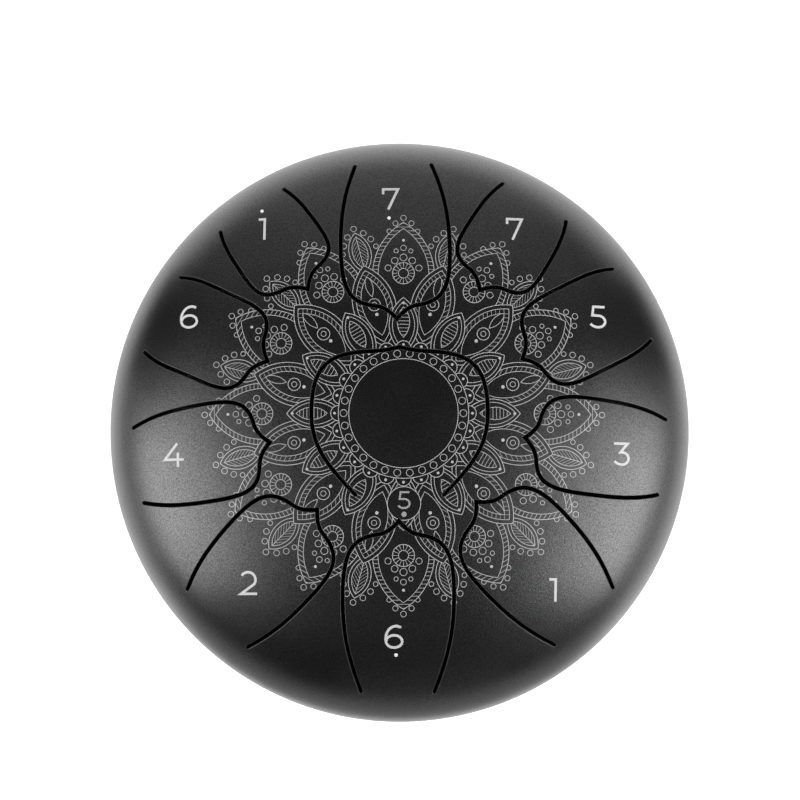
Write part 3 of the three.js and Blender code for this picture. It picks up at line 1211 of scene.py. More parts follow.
@dataclass
class PrintedNumber:
    """A note's number, printed on its tongue, with its octave dot."""

    dome: Dome
    tongue: Tongue
    digit: int
    centre: Pair
    dot_centre: Pair | None = None
    height: float = 9.9 * MM
    dot_radius: float = 0.74 * MM
    film: float = 0.05 * MM
    cell: float = 2 * MM
    round_steps: int = 48
    on_shell: bool = False

    def plate(self, outline: np.ndarray, name: str) -> Object:
        """Models one outline of the plan as a thin film, rolled out flat."""
        return add_plate(name, self.dome.flatten(outline), self.film, -self.film)

    def ellipse(self, middle: np.ndarray, radii: np.ndarray) -> np.ndarray:
        """Points of an ellipse in the plan."""
        return middle + regular_outline(1, self.round_steps) * radii

    def build(self) -> Object:
        """Models the strokes and the dot flat, joins them and presses them onto the dome.

        Returns:
            The number.
        """
        digits = Digits()
        unit = self.height / (1 + digits.stroke)
        width = digits.stroke * unit
        strokes = [np.array(line) * unit for line in digits.lines(self.digit)]
        ring = digits.ring(self.digit)
        outlines = [stroke_outline(line, width) for line in strokes]
        if ring:
            outlines.append(self.ellipse(np.array(ring[0]) * unit, np.array(ring[1]) * unit + width / 2))
        every = np.concatenate(outlines)
        shift = np.array(self.centre) - (every.min(axis=0) + every.max(axis=0)) / 2
        name = f"number_{self.tongue.note}"
        plates = [self.plate(outline + shift, name) for outline in outlines]
        number = plates[0]
        if ring:
            middle = np.array(ring[0]) * unit + shift
            hole = self.ellipse(middle, np.array(ring[1]) * unit - width / 2)
            tool = add_plate("hole", self.dome.flatten(hole), 2 * self.film, -2 * self.film)
            combine(plates[1], tool, "DIFFERENCE")
        for plate in plates[1:]:
            combine(number, plate, "UNION")
        if self.dot_centre:
            radii = np.array([self.dot_radius, self.dot_radius])
            join(number, self.plate(self.ellipse(np.array(self.dot_centre), radii), "dot"))
        cut_grid(number, self.cell)
        self.dome.press(number)
        return number

    def dress(self, ink: Material, dot_ink: Material) -> list[Object]:
        """Prints the number, and ties it to the shell if it is printed there.

        Args:
            ink: The number's material.
            dot_ink: The octave dot's material.

        Returns:
            The number.
        """
        number = self.build()
        number.data.materials.append(ink)
        if self.dot_centre:
            number.data.materials.append(dot_ink)
            for polygon in number.data.polygons:
                away = polygon.center.xy - Vector(self.dot_centre)
                polygon.material_index = int(away.length < 2 * self.dot_radius)
        if self.on_shell:
            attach(number, "shell")
        else:
            start, end = self.tongue.bend_span(self.dome)
            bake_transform(number)
        return [number]


def printed_numbers(dome: Dome, tongues: list[Tongue]) -> list[PrintedNumber]:
    """The eleven notes' numbers, with their places in the plan and their dots' places in millimetres.

    Args:
        dome: The drum's dome.
        tongues: Its tongues, the centre one first.

    Returns:
        The numbers, in the tongues' order.
    """
    # Digit, its middle and its dot
    places = {
        "low_5": (5, (1.85, -32.3), (1.85, -38.2)),
        "low_6": (6, (-2.4, -89.5), (-1.5, -97.2)),
        "low_7": (7, (-3.7, 96.8), (-4.5, 88.1)),
        "1": (1, (64.9, -69.7)),
        "2": (2, (-64.5, -66.8)),
        "3": (3, (94.3, -12.2)),
        "4": (4, (-96.2, -12.5)),
        "5": (5, (84.4, 46.2)),
        "6": (6, (-89.8, 46.5)),
        "7": (7, (49.2, 83.9)),
        "high_1": (1, (-58.8, 84.4), (-59.1, 92.8)),
    }
    numbers = []
    for tongue in tongues:
        digit, *spots = places[tongue.note]
        numbers.append(PrintedNumber(dome, tongue, digit, *((x * MM, y * MM) for x, y in spots)))
    small = numbers[0]
    small.height = 7.4 * MM
    small.dot_radius = 1.1 * MM
    small.on_shell = True
    return numbers


class Graph:
    """A material's or the world's node tree, with short calls to add nodes and links."""

    def __init__(self, name: str, world: World | None = None) -> None:
        """Empties the world's tree, or that of a new material.

        Args:
            name: The new material's name.
            world: The world, if the tree is to be the world's.
        """
        self.owner = world or bpy.data.materials.new(name)
        self.owner.use_nodes = True
        self.tree = self.owner.node_tree
        self.tree.nodes.clear()

    def node(self, kind: str, **settings: object) -> Node:
        """Adds a node and sets its properties, or its sockets where a name is a socket's.

        Args:
            kind: The node's type.
            settings: The values, by name.

        Returns:
            The node.
        """
        node = self.tree.nodes.new(kind)
        for key, value in settings.items():
            socket = node.inputs.get(key.title())
            if socket is None:
                setattr(node, key, value)
            else:
                socket.default_value = value
        return node

    def link(self, source: NodeSocket, target: NodeSocket) -> None:
        """Links two sockets."""
        self.tree.links.new(source, target)

    def place(self) -> NodeSocket:
        """Place on the piece, in metres."""
        return self.node("ShaderNodeTexCoord").outputs["Object"]

    def noise(self, scale: float, detail: float, roughness: float = 0.5) -> NodeSocket:
        """Noise from 0 to 1 with a number of grains to the metre.

        Args:
            scale: Number of grains to the metre.
            detail: Number of finer layers.
            roughness: Share of each finer layer in the next coarser one.

        Returns:
            The noise.
        """
        node = self.node("ShaderNodeTexNoise", scale=scale, detail=detail, roughness=roughness)
        self.link(self.place(), node.inputs["Vector"])
        return node.outputs["Fac"]

    def maths(self, operation: str, *values: float | NodeSocket, clamp: bool = False) -> NodeSocket:
        """Adds a sum on numbers or sockets.

        Args:
            operation: The sum's name.
            values: Its terms.
            clamp: Whether the result is kept between 0 and 1.

        Returns:
            The result.
        """
        node = self.node("ShaderNodeMath", operation=operation, use_clamp=clamp)
        for socket, value in zip(node.inputs, values):
            if isinstance(value, NodeSocket):
                self.link(value, socket)
            else:
                socket.default_value = value
        return node.outputs[0]

    def ramp(self, source: NodeSocket, reach: Pair, levels: Pair, kind: str = "SMOOTHSTEP") -> NodeSocket:
        """Goes from one level to another as a value crosses a reach.

        Args:
            source: The value.
            reach: The values between which it goes.
            levels: The levels at either end.
            kind: How it goes from one to the other.

        Returns:
            The level.
        """
        node = self.node("ShaderNodeMapRange", interpolation_type=kind)
        node.inputs["From Min"].default_value, node.inputs["From Max"].default_value = reach
        node.inputs["To Min"].default_value, node.inputs["To Max"].default_value = levels
        self.link(source, node.inputs["Value"])
        return node.outputs["Result"]

    def spread(self, source: NodeSocket, low: float, high: float) -> NodeSocket:
        """Maps the middle half of a noise onto a range of values."""
        return self.ramp(source, (0.25, 0.75), (low, high), "LINEAR")

    def blend(
        self, share: NodeSocket, first: Colour | NodeSocket, second: Colour | NodeSocket
    ) -> NodeSocket:
        """Mixes two colours by a share from 0 to 1.

        Args:
            share: The second colour's share.
            first: The first colour.
            second: The second colour.

        Returns:
            The mixed colour.
        """
        node = self.node("ShaderNodeMix", data_type="RGBA")
        self.link(share, node.inputs["Factor"])
        for socket, colour in ((node.inputs[6], first), (node.inputs[7], second)):
            if isinstance(colour, tuple):
                socket.default_value = (*colour, 1)
            else:
                self.link(colour, socket)
        return node.outputs[2]

    def bump(self, height: NodeSocket, distance: float) -> NodeSocket:
        """Turns heights from 0 to 1 into a normal.

        Args:
            height: The heights.
            distance: What a height of 1 stands for, in metres.

        Returns:
            The normal.
        """
        node = self.node("ShaderNodeBump", strength=1.0, distance=distance)
        self.link(height, node.inputs["Height"])
        return node.outputs["Normal"]

    def finish(self, shader: Node) -> Material:
        """Links a shader to the output and returns the material.

        Args:
            shader: The shader.

        Returns:
            The material.
        """
        output = self.node("ShaderNodeOutputMaterial")
        self.link(shader.outputs[0], output.inputs["Surface"])
        return self.owner


class Field:
    """A number that varies over the plan, in millimetres, with the usual sums on it."""

    soft = 0.12

    def __init__(self, graph: Graph, value: NodeSocket) -> None:
        """Keeps the number's socket and its graph."""
        self.graph = graph
        self.value = value

    def sum(self, operation: str, *terms: "Field | float", clamp: bool = False) -> "Field":
        """Applies a sum to this number and others."""
        values = [term.value if isinstance(term, Field) else term for term in terms]
        return Field(self.graph, self.graph.maths(operation, self.value, *values, clamp=clamp))

    def __add__(self, other: "Field | float") -> "Field":
        """The two numbers' sum."""
        return self.sum("ADD", other)

    def __sub__(self, other: "Field | float") -> "Field":
        """The two numbers' difference."""
        return self.sum("SUBTRACT", other)

    def __mul__(self, other: "Field | float") -> "Field":
        """The two numbers' product."""
        return self.sum("MULTIPLY", other)

    def __or__(self, other: "Field") -> "Field":
        """The larger of the two numbers."""
        return self.sum("MAXIMUM", other)

    def fold(self, half: float) -> "Field":
        """Folds the number to and fro between 0 and a limit."""
        return self.sum("PINGPONG", half)

    def line(self, width: float) -> "Field":
        """Ink of a line where the number is 0."""
        away = self.sum("ABSOLUTE")
        return away.sum("MULTIPLY_ADD", -1 / self.soft, width / 2 / self.soft + 0.5, clamp=True)

    def inside(self) -> "Field":
        """1 where the number is under 0, and 0 elsewhere."""
        return self.sum("MULTIPLY_ADD", -1 / self.soft, 0.5, clamp=True)

    def outside(self) -> "Field":
        """1 where the number is over 0, and 0 elsewhere."""
        return self.sum("MULTIPLY_ADD", 1 / self.soft, 0.5, clamp=True)


class Sector:
    """One of many equal sectors about a point, folded on its own axis."""

    def __init__(self, radius: Field, angle: Field, count: int, offset: float = 0.0) -> None:
        """Folds the plan.

        Args:
            radius: Distance from the point.
            angle: Direction from the point.
            count: Number of sectors.
            offset: Share of a sector by which the sectors are turned.
        """
        half = math.pi / count
        turned = (angle + 2 * half * offset).fold(half)
        self.along = radius * turned.sum("COSINE")
        self.across = radius * turned.sum("SINE")
        self.graph = radius.graph
        pair = self.graph.node("ShaderNodeCombineXYZ")
        self.graph.link(self.along.value, pair.inputs["X"])
        self.graph.link(self.across.value, pair.inputs["Y"])
        self.place = pair.outputs["Vector"]

    def circle(self, along: float, across: float, radius: float) -> Field:
        """Distance outside a circle, under 0 in it.

        Args:
            along: Its centre's place along the sector's axis.
            across: Its centre's place beside the axis.
            radius: Its radius.

        Returns:
            The distance.
        """
        node = self.graph.node("ShaderNodeVectorMath", operation="DISTANCE")
        self.graph.link(self.place, node.inputs[0])
        node.inputs[1].default_value = (along, across, 0)
        return Field(self.graph, node.outputs["Value"]) - radius

    def petal(self, start: float, end: float, half: float) -> Field:
        """Distance outside a pointed petal of two equal arcs, under 0 in it.

        Args:
            start: Distance of its near point.
            end: Distance of its far point.
            half: Half of its width.

        Returns:
            The distance.
        """
        length = (end - start) / 2
        radius = (length**2 + half**2) / (2 * half)
        return self.circle((start + end) / 2, half - radius, radius)


class Drawing:
    """Line work from front to back: a shape that is covered hides what is drawn later."""

    def __init__(self, blank: Field) -> None:
        """Starts with the part of the plan that may be drawn on."""
        self.shown = blank
        self.ink: Field | None = None

    def draw(self, *lines: Field) -> None:
        """Draws lines where nothing covers the plan yet.

        Args:
            lines: The lines' ink.
        """
        every = lines[0]
        for line in lines[1:]:
            every = every | line
        every = every * self.shown
        self.ink = every if self.ink is None else self.ink | every

    def cover(self, shape: Field) -> None:
        """Keeps later lines out of a shape."""
        self.shown = self.shown * shape.outside()


@dataclass(frozen=True)
class Lotus:
    """Printed ornament: three rows of petals round a bare disc, with buds and beads outside.

    Its sizes are millimetres of the plan.
    """

    centre: Pair = (1.64, 4.1)
    number_centre: Pair = (1.85, -33.7)
    number_disc: float = 7
    petals: int = 12
    beads: int = 30
    bold: float = 0.26
    fine: float = 0.22
    hair: float = 0.17
    disc: float = 22.9
    band: float = 27.3

    def polar(self, graph: Graph, centre: Pair) -> tuple[Field, Field]:
        """Distance in the plan from a centre, in millimetres, and direction.

        Args:
            graph: The material's graph.
            centre: The centre.

        Returns:
            The distance and the direction.
        """
        plan = graph.node("ShaderNodeVectorMath", operation="MULTIPLY_ADD")
        graph.link(graph.place(), plan.inputs[0])
        plan.inputs[1].default_value = (1 / MM, 1 / MM, 0)
        plan.inputs[2].default_value = (-centre[0], -centre[1], 0)
        length = graph.node("ShaderNodeVectorMath", operation="LENGTH")
        split = graph.node("ShaderNodeSeparateXYZ")
        graph.link(plan.outputs["Vector"], length.inputs[0])
        graph.link(plan.outputs["Vector"], split.inputs[0])
        angle = graph.maths("ARCTAN2", split.outputs["Y"], split.outputs["X"])
        return Field(graph, length.outputs["Value"]), Field(graph, angle)

    def draw_band(self, page: Drawing, radius: Field, angle: Field) -> None:
        """Draws the ring of beads round the bare disc, and the scallops on it.

        Args:
            page: The drawing.
            radius: Distance from the ornament's centre.
            angle: Direction from it.
        """
        bead = Sector(radius, angle, self.beads)
        middle = (self.disc + self.band) / 2
        rings = (radius - self.disc).line(self.bold) | (radius - self.band).line(self.bold)
        page.draw(rings, bead.circle(along=middle, across=0, radius=1.45).line(self.fine))
        page.cover(radius - self.band)
        scallop = Sector(radius, angle, 2 * self.petals)
        arch = scallop.circle(along=self.band, across=0, radius=3.2)
        dot = scallop.circle(along=self.band + 1.6, across=0, radius=0.55)
        page.draw(arch.line(self.bold), dot.inside())
        page.cover(arch)

    def draw_short_row(self, page: Drawing, sector: Sector) -> None:
        """Draws the short petals with their hatched hearts.

        Args:
            page: The drawing.
            sector: The row's sectors.
        """
        rim_inset, hatch_half = 1.35, 0.75
        petal = sector.petal(start=25.5, end=49, half=6)
        heart = sector.petal(start=32, end=45, half=2.6)
        hatch = sector.along.fold(hatch_half).line(self.hair) * heart.inside()
        dot = sector.circle(along=46.6, across=0, radius=0.5).inside()
        rim = (petal + rim_inset).line(self.fine)
        page.draw(petal.line(self.bold), rim, heart.line(self.fine), hatch, dot)
        page.cover(petal)

    def draw_middle_row(self, page: Drawing, sector: Sector) -> None:
        """Draws the middle petals with their ribbed borders, eyes and drops.

        Args:
            page: The drawing.
            sector: The row's sectors.
        """
        border_inset, field_inset, pupil_inset = 1.7, 3.8, 1.5
        rib_lean, rib_half, first_rib = 0.9, 1.2, 43
        petal = sector.petal(start=29, end=65, half=9)
        border, field = petal + border_inset, petal + field_inset
        slant = (sector.along - sector.across * rib_lean).fold(rib_half).line(self.hair)
        rib = slant * border.inside() * field.outside() * (sector.along - first_rib).outside()
        eye = sector.circle(along=47.5, across=0, radius=2.6)
        drop = sector.petal(start=51, end=60.5, half=1.5)
        dot = sector.circle(along=43.2, across=0, radius=0.7).inside()
        heart = eye.line(self.bold) | (eye + pupil_inset).line(self.fine) | drop.line(self.fine) | dot
        contours = border.line(self.fine) | field.line(self.fine)
        page.draw(petal.line(self.bold), contours, rib, heart * field.inside())
        page.cover(petal)

    def draw_tall_row(self, page: Drawing, sector: Sector) -> None:
        """Draws the tall petals with their ticked borders, wheels and berries.

        Args:
            page: The drawing.
            sector: The row's sectors.
        """
        border_inset, inner_inset, tick_half = 2.3, 0.6, 0.85
        hub, spokes, spoke_middle = 59.5, 16, 3.4
        petal = sector.petal(start=36, end=82, half=13)
        border = petal + border_inset
        tick = sector.along.fold(tick_half).line(self.hair) * petal.inside() * border.outside()
        wheel = sector.circle(along=hub, across=0, radius=4.6)
        core = sector.circle(along=hub, across=0, radius=2.1)
        turn = sector.across.sum("ARCTAN2", sector.along - hub)
        fan = (turn.fold(math.pi / spokes) * spoke_middle).line(self.hair)
        inner = wheel.line(self.bold) | core.line(self.fine) | fan * wheel.inside() * core.outside()
        # Place along and across, and radius
        berries = ((66.4, 0, 1.5), (65, 3.7, 1.4), (61.8, 6.5, 1.3), (70.6, 0, 1.2), (69.3, 3.1, 0.9))
        for berry in berries:
            inner = inner | sector.circle(*berry).line(self.fine)
        inner = inner | sector.circle(along=74, across=0, radius=0.6).inside()
        inner = inner * (border + inner_inset).inside()
        page.draw(petal.line(self.bold), border.line(self.fine), tick, inner)
        page.cover(petal)

    def draw_buds(self, page: Drawing, sector: Sector) -> None:
        """Draws the veined buds between the tall petals.

        Args:
            page: The drawing.
            sector: The row's sectors.
        """
        leaf_inset, vein_lean, vein_half = 1.4, 1.2, 0.85
        bud = sector.petal(start=62, end=80, half=4.6)
        leaf = bud + leaf_inset
        vein = (sector.along + sector.across * vein_lean).fold(vein_half).line(self.hair)
        inner = vein | sector.across.line(self.fine)
        page.draw(bud.line(self.bold), leaf.line(self.fine), inner * leaf.inside())
        page.cover(bud)

    def draw_fringe(self, page: Drawing, tall: Sector, between: Sector) -> None:
        """Draws the beads round the tall petals' tips and the buds.

        Args:
            page: The drawing.
            tall: The tall petals' sectors.
            between: The buds' sectors.
        """
        # Place along and across, and radius
        tips = ((84, 0, 1.2), (81.6, 3.4, 1.1), (78, 6, 1))
        buds = ((81.9, 0, 1.2), (79, 3.5, 1.2), (75.6, 5.9, 1.2), (72, 7.2, 1))
        beads = [tall.circle(*bead).line(self.fine) for bead in tips]
        beads += [between.circle(*bead).line(self.fine) for bead in buds]
        page.draw(*beads)

    def ink(self, graph: Graph) -> NodeSocket:
        """Draws the ornament.

        Args:
            graph: The material's graph.

        Returns:
            The ink's cover, from 0 to 1.
        """
        radius, angle = self.polar(graph, self.centre)
        number, _ = self.polar(graph, self.number_centre)
        disc = number - self.number_disc
        page = Drawing(disc.outside())
        tall = Sector(radius, angle, self.petals)
        between = Sector(radius, angle, self.petals, offset=0.5)
        self.draw_band(page, radius, angle)
        self.draw_short_row(page, tall)
        self.draw_middle_row(page, between)
        self.draw_tall_row(page, tall)
        self.draw_buds(page, between)
        self.draw_fringe(page, tall, between)
        return (page.ink | disc.line(self.bold)).value


@dataclass(frozen=True)
class PowderCoat:
    """Satin black powder coat with a fine grain, plain or printed with an ornament."""

    name: str
    ornament: Lotus | None = None
    colour: Colour = (0.0028, 0.0029, 0.003)
    pale: Colour = (0.005, 0.0051, 0.0053)
    ink: Colour = (0.5, 0.5, 0.5)
    gloss_index: float = 1.82
    grains: float = 2000
    grain_height: float = 0.062 * MM
    pits: float = 1800
    clouds: float = 45
    pit_gloss: Colour = (0.46, 0.46, 0.46)
    full_gloss: Colour = (1, 1, 1)
    sheen_low: float = 0.31
    sheen_high: float = 0.36
    ink_sheen: float = 0.55

    def material(self) -> Material:
        """Makes the coat's material.

        Returns:
            The material.
        """
        graph = Graph(self.name)
        shader = graph.node("ShaderNodeBsdfPrincipled")
        shader.inputs["IOR"].default_value = self.gloss_index
        grain = graph.noise(self.grains, 0.0)
        cloud = graph.noise(self.clouds, 3.0)
        colour = graph.blend(grain, self.colour, self.pale)
        pits = graph.spread(graph.noise(self.pits, 0.0), 0, 1)
        gloss = graph.blend(pits, self.pit_gloss, self.full_gloss)
        graph.link(gloss, shader.inputs["Specular Tint"])
        sheen = graph.spread(cloud, self.sheen_low, self.sheen_high)
        if self.ornament:
            cover = self.ornament.ink(graph)
            colour = graph.blend(cover, colour, self.ink)
            sheen = graph.maths("MULTIPLY_ADD", cover, self.ink_sheen - self.sheen_high, sheen)
        graph.link(colour, shader.inputs["Base Color"])
        graph.link(sheen, shader.inputs["Roughness"])
        graph.link(graph.bump(grain, self.grain_height), shader.inputs["Normal"])
        return graph.finish(shader)


@dataclass(frozen=True)
class PrintInk:
    """Pale matt ink, thin enough that the coat's grain shows through it."""

    name: str
    colour: Colour
    thin: Colour
    gloss: float = 0.2
    roughness: float = 0.6
    grains: float = 1500
    grain_height: float = 0.02 * MM

    def material(self) -> Material:
        """Makes the ink's material.

        Returns:
            The material.
        """
        graph = Graph(self.name)
        shader = graph.node("ShaderNodeBsdfPrincipled", roughness=self.roughness)
        shader.inputs["Specular IOR Level"].default_value = self.gloss
        grain = graph.noise(self.grains, 2.0)
        graph.link(graph.blend(grain, self.thin, self.colour), shader.inputs["Base Color"])
        graph.link(graph.bump(grain, self.grain_height), shader.inputs["Normal"])
        return graph.finish(shader)


@dataclass(frozen=True)
class FootRubber:
    """Matt black rubber with a fine moulded grain and a little dust."""

    colour: Colour = (0.012, 0.012, 0.012)
    dusty: Colour = (0.03, 0.03, 0.029)
    dust_spots: float = 220
    grains: float = 2600
    grain_height: float = 0.04 * MM
    sheen_low: float = 0.66
    sheen_high: float = 0.85

    def material(self) -> Material:
        """Makes the rubber's material.

        Returns:
            The material.
        """
        graph = Graph("foot_rubber")
        shader = graph.node("ShaderNodeBsdfPrincipled")
        dust = graph.noise(self.dust_spots, 4.0, 0.65)
        grain = graph.noise(self.grains, 2.0)
        graph.link(graph.blend(dust, self.colour, self.dusty), shader.inputs["Base Color"])
        graph.link(graph.spread(dust, self.sheen_low, self.sheen_high), shader.inputs["Roughness"])
        graph.link(graph.bump(grain, self.grain_height), shader.inputs["Normal"])
        return graph.finish(shader)


@dataclass(frozen=True)
class Plating:
    """Plated steel: a bright metal whose tint and polish vary a little."""

    name: str
    colour: Colour
    stain: Colour
    smooth: float
    dull: float
    stains: float = 350
    scratches: float = 3000
    scratch_depth: float = 0.006 * MM

    def material(self) -> Material:
        """Makes the plating's material.

        Returns:
            The material.
        """
        graph = Graph(self.name)
        shader = graph.node("ShaderNodeBsdfPrincipled", metallic=1.0)
        stain = graph.noise(self.stains, 3.0)
        scratch = graph.noise(self.scratches, 1.0)
        graph.link(graph.blend(stain, self.colour, self.stain), shader.inputs["Base Color"])
        graph.link(graph.spread(stain, self.smooth, self.dull), shader.inputs["Roughness"])
        graph.link(graph.bump(scratch, self.scratch_depth), shader.inputs["Normal"])
        return graph.finish(shader)


@dataclass(frozen=True)
class SoftBox:
    """A broad lamp that faces the drum."""

    name: str
    azimuth: float
    elevation: float
    distance: float
    width: float
    height: float
    power: float
    mirrored: bool = True

    def build(self, target: Vector) -> None:
        """Adds the lamp, turned towards a point, seen in reflections unless it is a plain fill.

        Args:
            target: The point.
        """
        turn, lift = math.radians(self.azimuth), math.radians(self.elevation)
        level = math.cos(lift)
        way = Vector((level * math.cos(turn), level * math.sin(turn), math.sin(lift)))
        bpy.ops.object.select_all(action="DESELECT")
        bpy.ops.object.light_add(type="AREA", location=target + way * self.distance)
        lamp = bpy.context.object
        lamp.name = lamp.data.name = self.name
        lamp.data.shape = "RECTANGLE"
        lamp.data.size = self.width
        lamp.data.size_y = self.height
        lamp.data.energy = self.power
        lamp.visible_camera = False
        lamp.visible_glossy = self.mirrored
        lamp.rotation_euler = (-way).to_track_quat("-Z", "Y").to_euler()


@dataclass(frozen=True)
class PaintedDarkReflection:
    """A dark card beside the drum, seen only in its reflections: a painted dark reflection that casts no
    shadow and lights nothing.
    """

    name: str
    azimuth: float
    distance: float
    width: float
    height: float
    shade: float = 0.02

    def build(self) -> None:
        """Stands the card on the floor, facing the drum."""
        turn = math.radians(self.azimuth)
        bpy.ops.object.select_all(action="DESELECT")
        bpy.ops.mesh.primitive_plane_add(size=1)
        card = bpy.context.object
        card.name = self.name
        card.scale = (self.width, self.height, 1)
        card.rotation_euler = (math.pi / 2, 0, turn + math.pi / 2)
        card.location = Vector((math.cos(turn), math.sin(turn), 0)) * self.distance
        card.location.z = self.height / 2
        graph = Graph(f"{self.name}_cloth")
        painted_dark = graph.node("ShaderNodeBsdfDiffuse", color=(*[self.shade] * 3, 1))
        card.data.materials.append(graph.finish(painted_dark))
        # Painted dark reflection: the card is hidden from the camera, from diffuse light and from shadows
        card.visible_camera = False
        card.visible_diffuse = False
        card.visible_shadow = False


@dataclass(frozen=True)
class PaintedLightPool:
    """A round patch of painted light on the floor, seen only in reflections, that fades at its edge."""

    centre: tuple[float, float, float]
    inner: float
    outer: float
    edge: float = 0.08

    def level(self, graph: Graph) -> NodeSocket:
        """Painted light over the floor, seen in reflections, 1 inside the patch.

        Args:
            graph: The floor's graph.

        Returns:
            The brightness.
        """
        away = graph.node("ShaderNodeVectorMath", operation="DISTANCE")
        graph.link(graph.place(), away.inputs[0])
        away.inputs[1].default_value = self.centre
        return graph.ramp(away.outputs["Value"], (self.inner, self.outer), (1, self.edge))


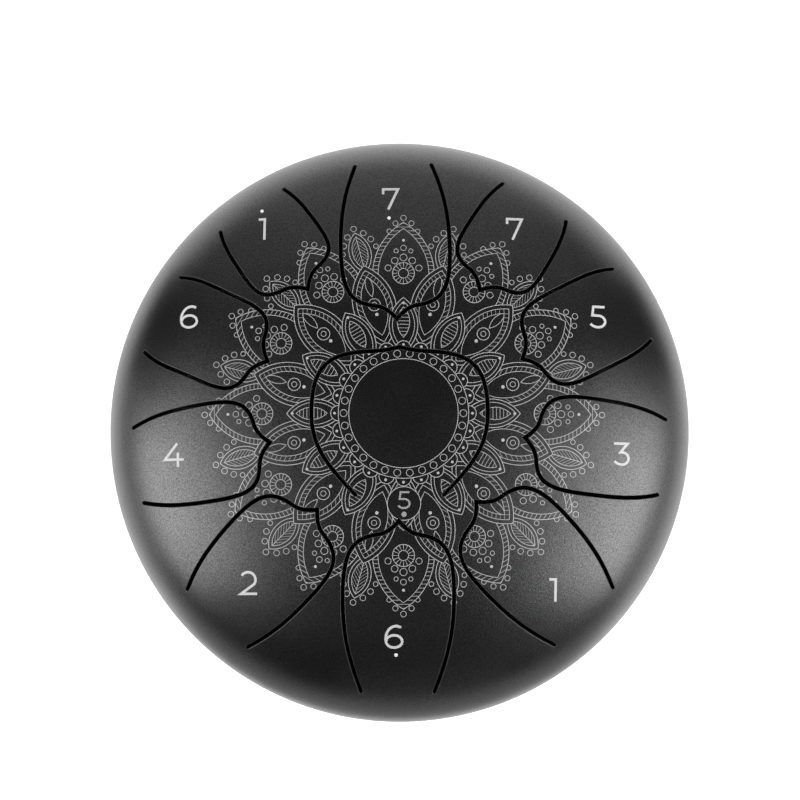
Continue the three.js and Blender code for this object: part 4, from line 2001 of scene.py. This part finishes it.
@dataclass(frozen=True)
class Studio:
    """White floor with painted pools of light and a painted shadow, dim room, soft lamps round the drum,
    dark cards that paint dark reflections, and the camera.
    """

    aim: tuple[float, float, float] = (0.175 * MM, 12.71 * MM, 91 * MM)
    camera_distance: float = 1400 * MM
    camera_elevation: float = 86.4
    lens: float = 145.1
    sensor: float = 36
    floor_size: float = 24.0
    floor_glow: float = 0.9
    floor_grey: float = 0.5
    # Painted shadow: the floor's glow fades out between these radii under the drum
    painted_shadow_inner: float = 105 * MM
    painted_shadow_outer: float = 128 * MM
    # Patches of painted light on the floor, seen only in reflections: behind the drum, round it and beside
    # it on either side
    painted_light_pools: tuple[PaintedLightPool, ...] = (
        PaintedLightPool((0, 160 * MM, 0), 240 * MM, 360 * MM),
        PaintedLightPool((0, 0, 0), 145 * MM, 200 * MM),
        PaintedLightPool((170 * MM, -55 * MM, 0), 70 * MM, 130 * MM),
        PaintedLightPool((-170 * MM, -38 * MM, 0), 70 * MM, 130 * MM),
    )
    room_reach: Pair = (0.1, 0.35)
    room_low: float = 0.2
    room_high: float = 0.015

    def build_camera(self) -> None:
        """Adds the camera over the drum, leaning a little towards the player."""
        lift = math.radians(self.camera_elevation)
        back = Vector((0, -math.cos(lift), math.sin(lift)))
        bpy.ops.object.select_all(action="DESELECT")
        bpy.ops.object.camera_add(location=Vector(self.aim) + back * self.camera_distance)
        camera = bpy.context.object
        camera.data.lens = self.lens
        camera.data.sensor_width = self.sensor
        camera.rotation_euler = (math.pi / 2 - lift, 0, 0)
        bpy.context.scene.camera = camera

    def build_floor(self) -> None:
        """Adds the floor, white to the camera, with painted light in reflections and a painted shadow under
        the drum, where its glow fades out.
        """
        bpy.ops.object.select_all(action="DESELECT")
        bpy.ops.mesh.primitive_plane_add(size=self.floor_size)
        floor = bpy.context.object
        floor.name = "studio_floor"
        graph = Graph("studio_floor")
        matt = graph.node("ShaderNodeBsdfDiffuse", color=(*[self.floor_grey] * 3, 1))
        glow = graph.node("ShaderNodeEmission")
        path = graph.node("ShaderNodeLightPath")
        bounced = graph.maths("MAXIMUM", path.outputs["Is Glossy Ray"], path.outputs["Is Transmission Ray"])
        out = graph.node("ShaderNodeVectorMath", operation="LENGTH")
        graph.link(graph.place(), out.inputs[0])
        # Painted light: in reflections the floor glows as bright as the pools
        painted_light = self.painted_light_pools[0].level(graph)
        for other in self.painted_light_pools[1:]:
            painted_light = graph.maths("MAXIMUM", painted_light, other.level(graph))
        plain = graph.maths("MULTIPLY", path.outputs["Is Camera Ray"], self.floor_glow)
        level = graph.maths("MAXIMUM", plain, graph.maths("MULTIPLY", bounced, painted_light))
        # Painted shadow under the drum, where the glow is taken away
        clear = graph.ramp(out.outputs["Value"], (self.painted_shadow_inner, self.painted_shadow_outer), (0, 1))
        graph.link(graph.maths("MULTIPLY", level, clear), glow.inputs["Strength"])
        both = graph.node("ShaderNodeAddShader")
        graph.link(matt.outputs[0], both.inputs[0])
        graph.link(glow.outputs[0], both.inputs[1])
        floor.data.materials.append(graph.finish(both))

    def build_world(self) -> None:
        """Makes the world, a dim room that is paler at the horizon and below it."""
        world = bpy.data.worlds.new("studio")
        bpy.context.scene.world = world
        graph = Graph("studio", world)
        split = graph.node("ShaderNodeSeparateXYZ")
        back = graph.node("ShaderNodeBackground")
        output = graph.node("ShaderNodeOutputWorld")
        graph.link(graph.node("ShaderNodeTexCoord").outputs["Generated"], split.inputs[0])
        level = graph.ramp(split.outputs["Z"], self.room_reach, (self.room_low, self.room_high))
        graph.link(level, back.inputs["Strength"])
        graph.link(back.outputs[0], output.inputs[0])

    def build_reflection_cards(self) -> None:
        """Stands dark cards in front of the drum and beside the lamps, as painted dark reflections seen
        only in the drum's reflections.
        """
        # Painted dark reflections that darken the drum's reflections in front and beside the lamps
        # Name, direction, distance, width and height, and a shade if it isn't the usual one
        reflection_cards = [
            PaintedDarkReflection("dark_reflection_front", 279, 0.42, 0.42, 0.22, 0.2),
            PaintedDarkReflection("dark_reflection_front_left", 240, 0.36, 0.24, 0.2),
            PaintedDarkReflection("dark_reflection_low_left", 221, 0.37, 0.17, 0.09),
            PaintedDarkReflection("dark_reflection_low_right", 309, 0.37, 0.2, 0.09),
            PaintedDarkReflection("dark_reflection_right", 24, 0.27, 0.12, 0.25),
            PaintedDarkReflection("dark_reflection_left", 155, 0.27, 0.12, 0.25),
        ]
        for reflection_card in reflection_cards:
            reflection_card.build()

    def build(self, dome: Dome) -> None:
        """Builds the whole studio round the drum.

        Args:
            dome: The drum's dome, at which the lamps point.
        """
        scene = bpy.context.scene
        scene.view_settings.view_transform = "Standard"
        self.build_camera()
        self.build_floor()
        self.build_world()
        self.build_reflection_cards()
        target = Vector((0, 0, dome.rim_height + dome.rise / 2))
        # Name, direction, height in degrees, distance, width and height of the lamp, and power
        lamps = [
            SoftBox("lamp_right_low", 342.5, 8, 1.3, 1.0, 0.6, 11),
            SoftBox("lamp_right_middle", 342.5, 31, 1.3, 1.12, 0.5, 7.8),
            SoftBox("lamp_right_high", 342.5, 53, 1.3, 0.75, 0.5, 1.9),
            SoftBox("lamp_left_low", 195.5, 8, 1.3, 0.9, 0.6, 9),
            SoftBox("lamp_left_middle", 195.5, 31, 1.3, 1.02, 0.5, 6.9),
            SoftBox("lamp_left_high", 195.5, 53, 1.3, 0.7, 0.5, 1.7),
            SoftBox("lamp_back_low", 90, 8, 1.8, 2.2, 0.6, 2.7),
            SoftBox("lamp_back_high", 90, 35, 1.8, 2.0, 0.9, 3.3),
            SoftBox("lamp_back_right", 40, 22, 1.5, 0.8, 0.6, 0.6),
            SoftBox("lamp_back_left", 140, 22, 1.5, 0.8, 0.6, 0.6),
            SoftBox("lamp_front", 268, 46, 1.3, 1.3, 0.9, 0.35),
            SoftBox("lamp_fill", 90, 45, 1.3, 1.2, 0.8, 6, mirrored=False),
        ]
        for lamp in lamps:
            lamp.build(target)


def main() -> None:
    """Builds the drum's pieces in order, dresses them and sets up the studio."""
    logging.basicConfig(level=logging.INFO, format="%(message)s")
    dome = Dome.from_frame()
    tongues = TongueSet(dome.radius).all()
    coat = PowderCoat("powder_coat").material()
    printed = PowderCoat("printed_coat", Lotus()).material()
    # Paler coat on the slits' rounded edges: partly coat drawn thin, mostly a painted highlight along the
    # slits
    thin = PowderCoat(
        "thin_coat_painted_highlight",
        colour=(0.05, 0.05, 0.051),
        pale=(0.075, 0.075, 0.076),
        sheen_low=0.45,
        sheen_high=0.55,
    ).material()
    bright_ink = PrintInk("number_ink", colour=(0.65, 0.65, 0.65), thin=(0.58, 0.58, 0.58)).material()
    dot_ink = PrintInk("dot_ink", colour=(0.92, 0.92, 0.92), thin=(0.86, 0.86, 0.86)).material()
    dim_ink = PrintInk("ornament_ink", colour=(0.36, 0.36, 0.36), thin=(0.31, 0.31, 0.31)).material()
    rubber = FootRubber().material()
    zinc = Plating(
        "zinc_plate",
        colour=(0.62, 0.63, 0.64),
        stain=(0.52, 0.53, 0.55),
        smooth=0.26,
        dull=0.42,
    ).material()
    nickel = Plating(
        "nickel_plate",
        colour=(0.72, 0.70, 0.67),
        stain=(0.64, 0.62, 0.59),
        smooth=0.14,
        dull=0.26,
    ).material()
    Studio().build(dome)
    pieces = TopShell(dome, tongues).dress(printed, coat, thin)
    pieces += BottomShell(dome).dress(coat)
    pieces += SeamWeld(dome).dress(coat)
    for index in FEET:
        pieces += Foot(index).dress(rubber, zinc)
    for tongue in tongues:
        pieces += TuningMagnet(dome, tongue).dress(nickel)
    for number in printed_numbers(dome, tongues):
        inks = (dim_ink, dim_ink) if number.on_shell else (bright_ink, dot_ink)
        pieces += number.dress(*inks)
    for piece in pieces:
        LOG.info("%s: %d faces", piece.name, len(piece.data.polygons))


if __name__ == "__main__":
    main()
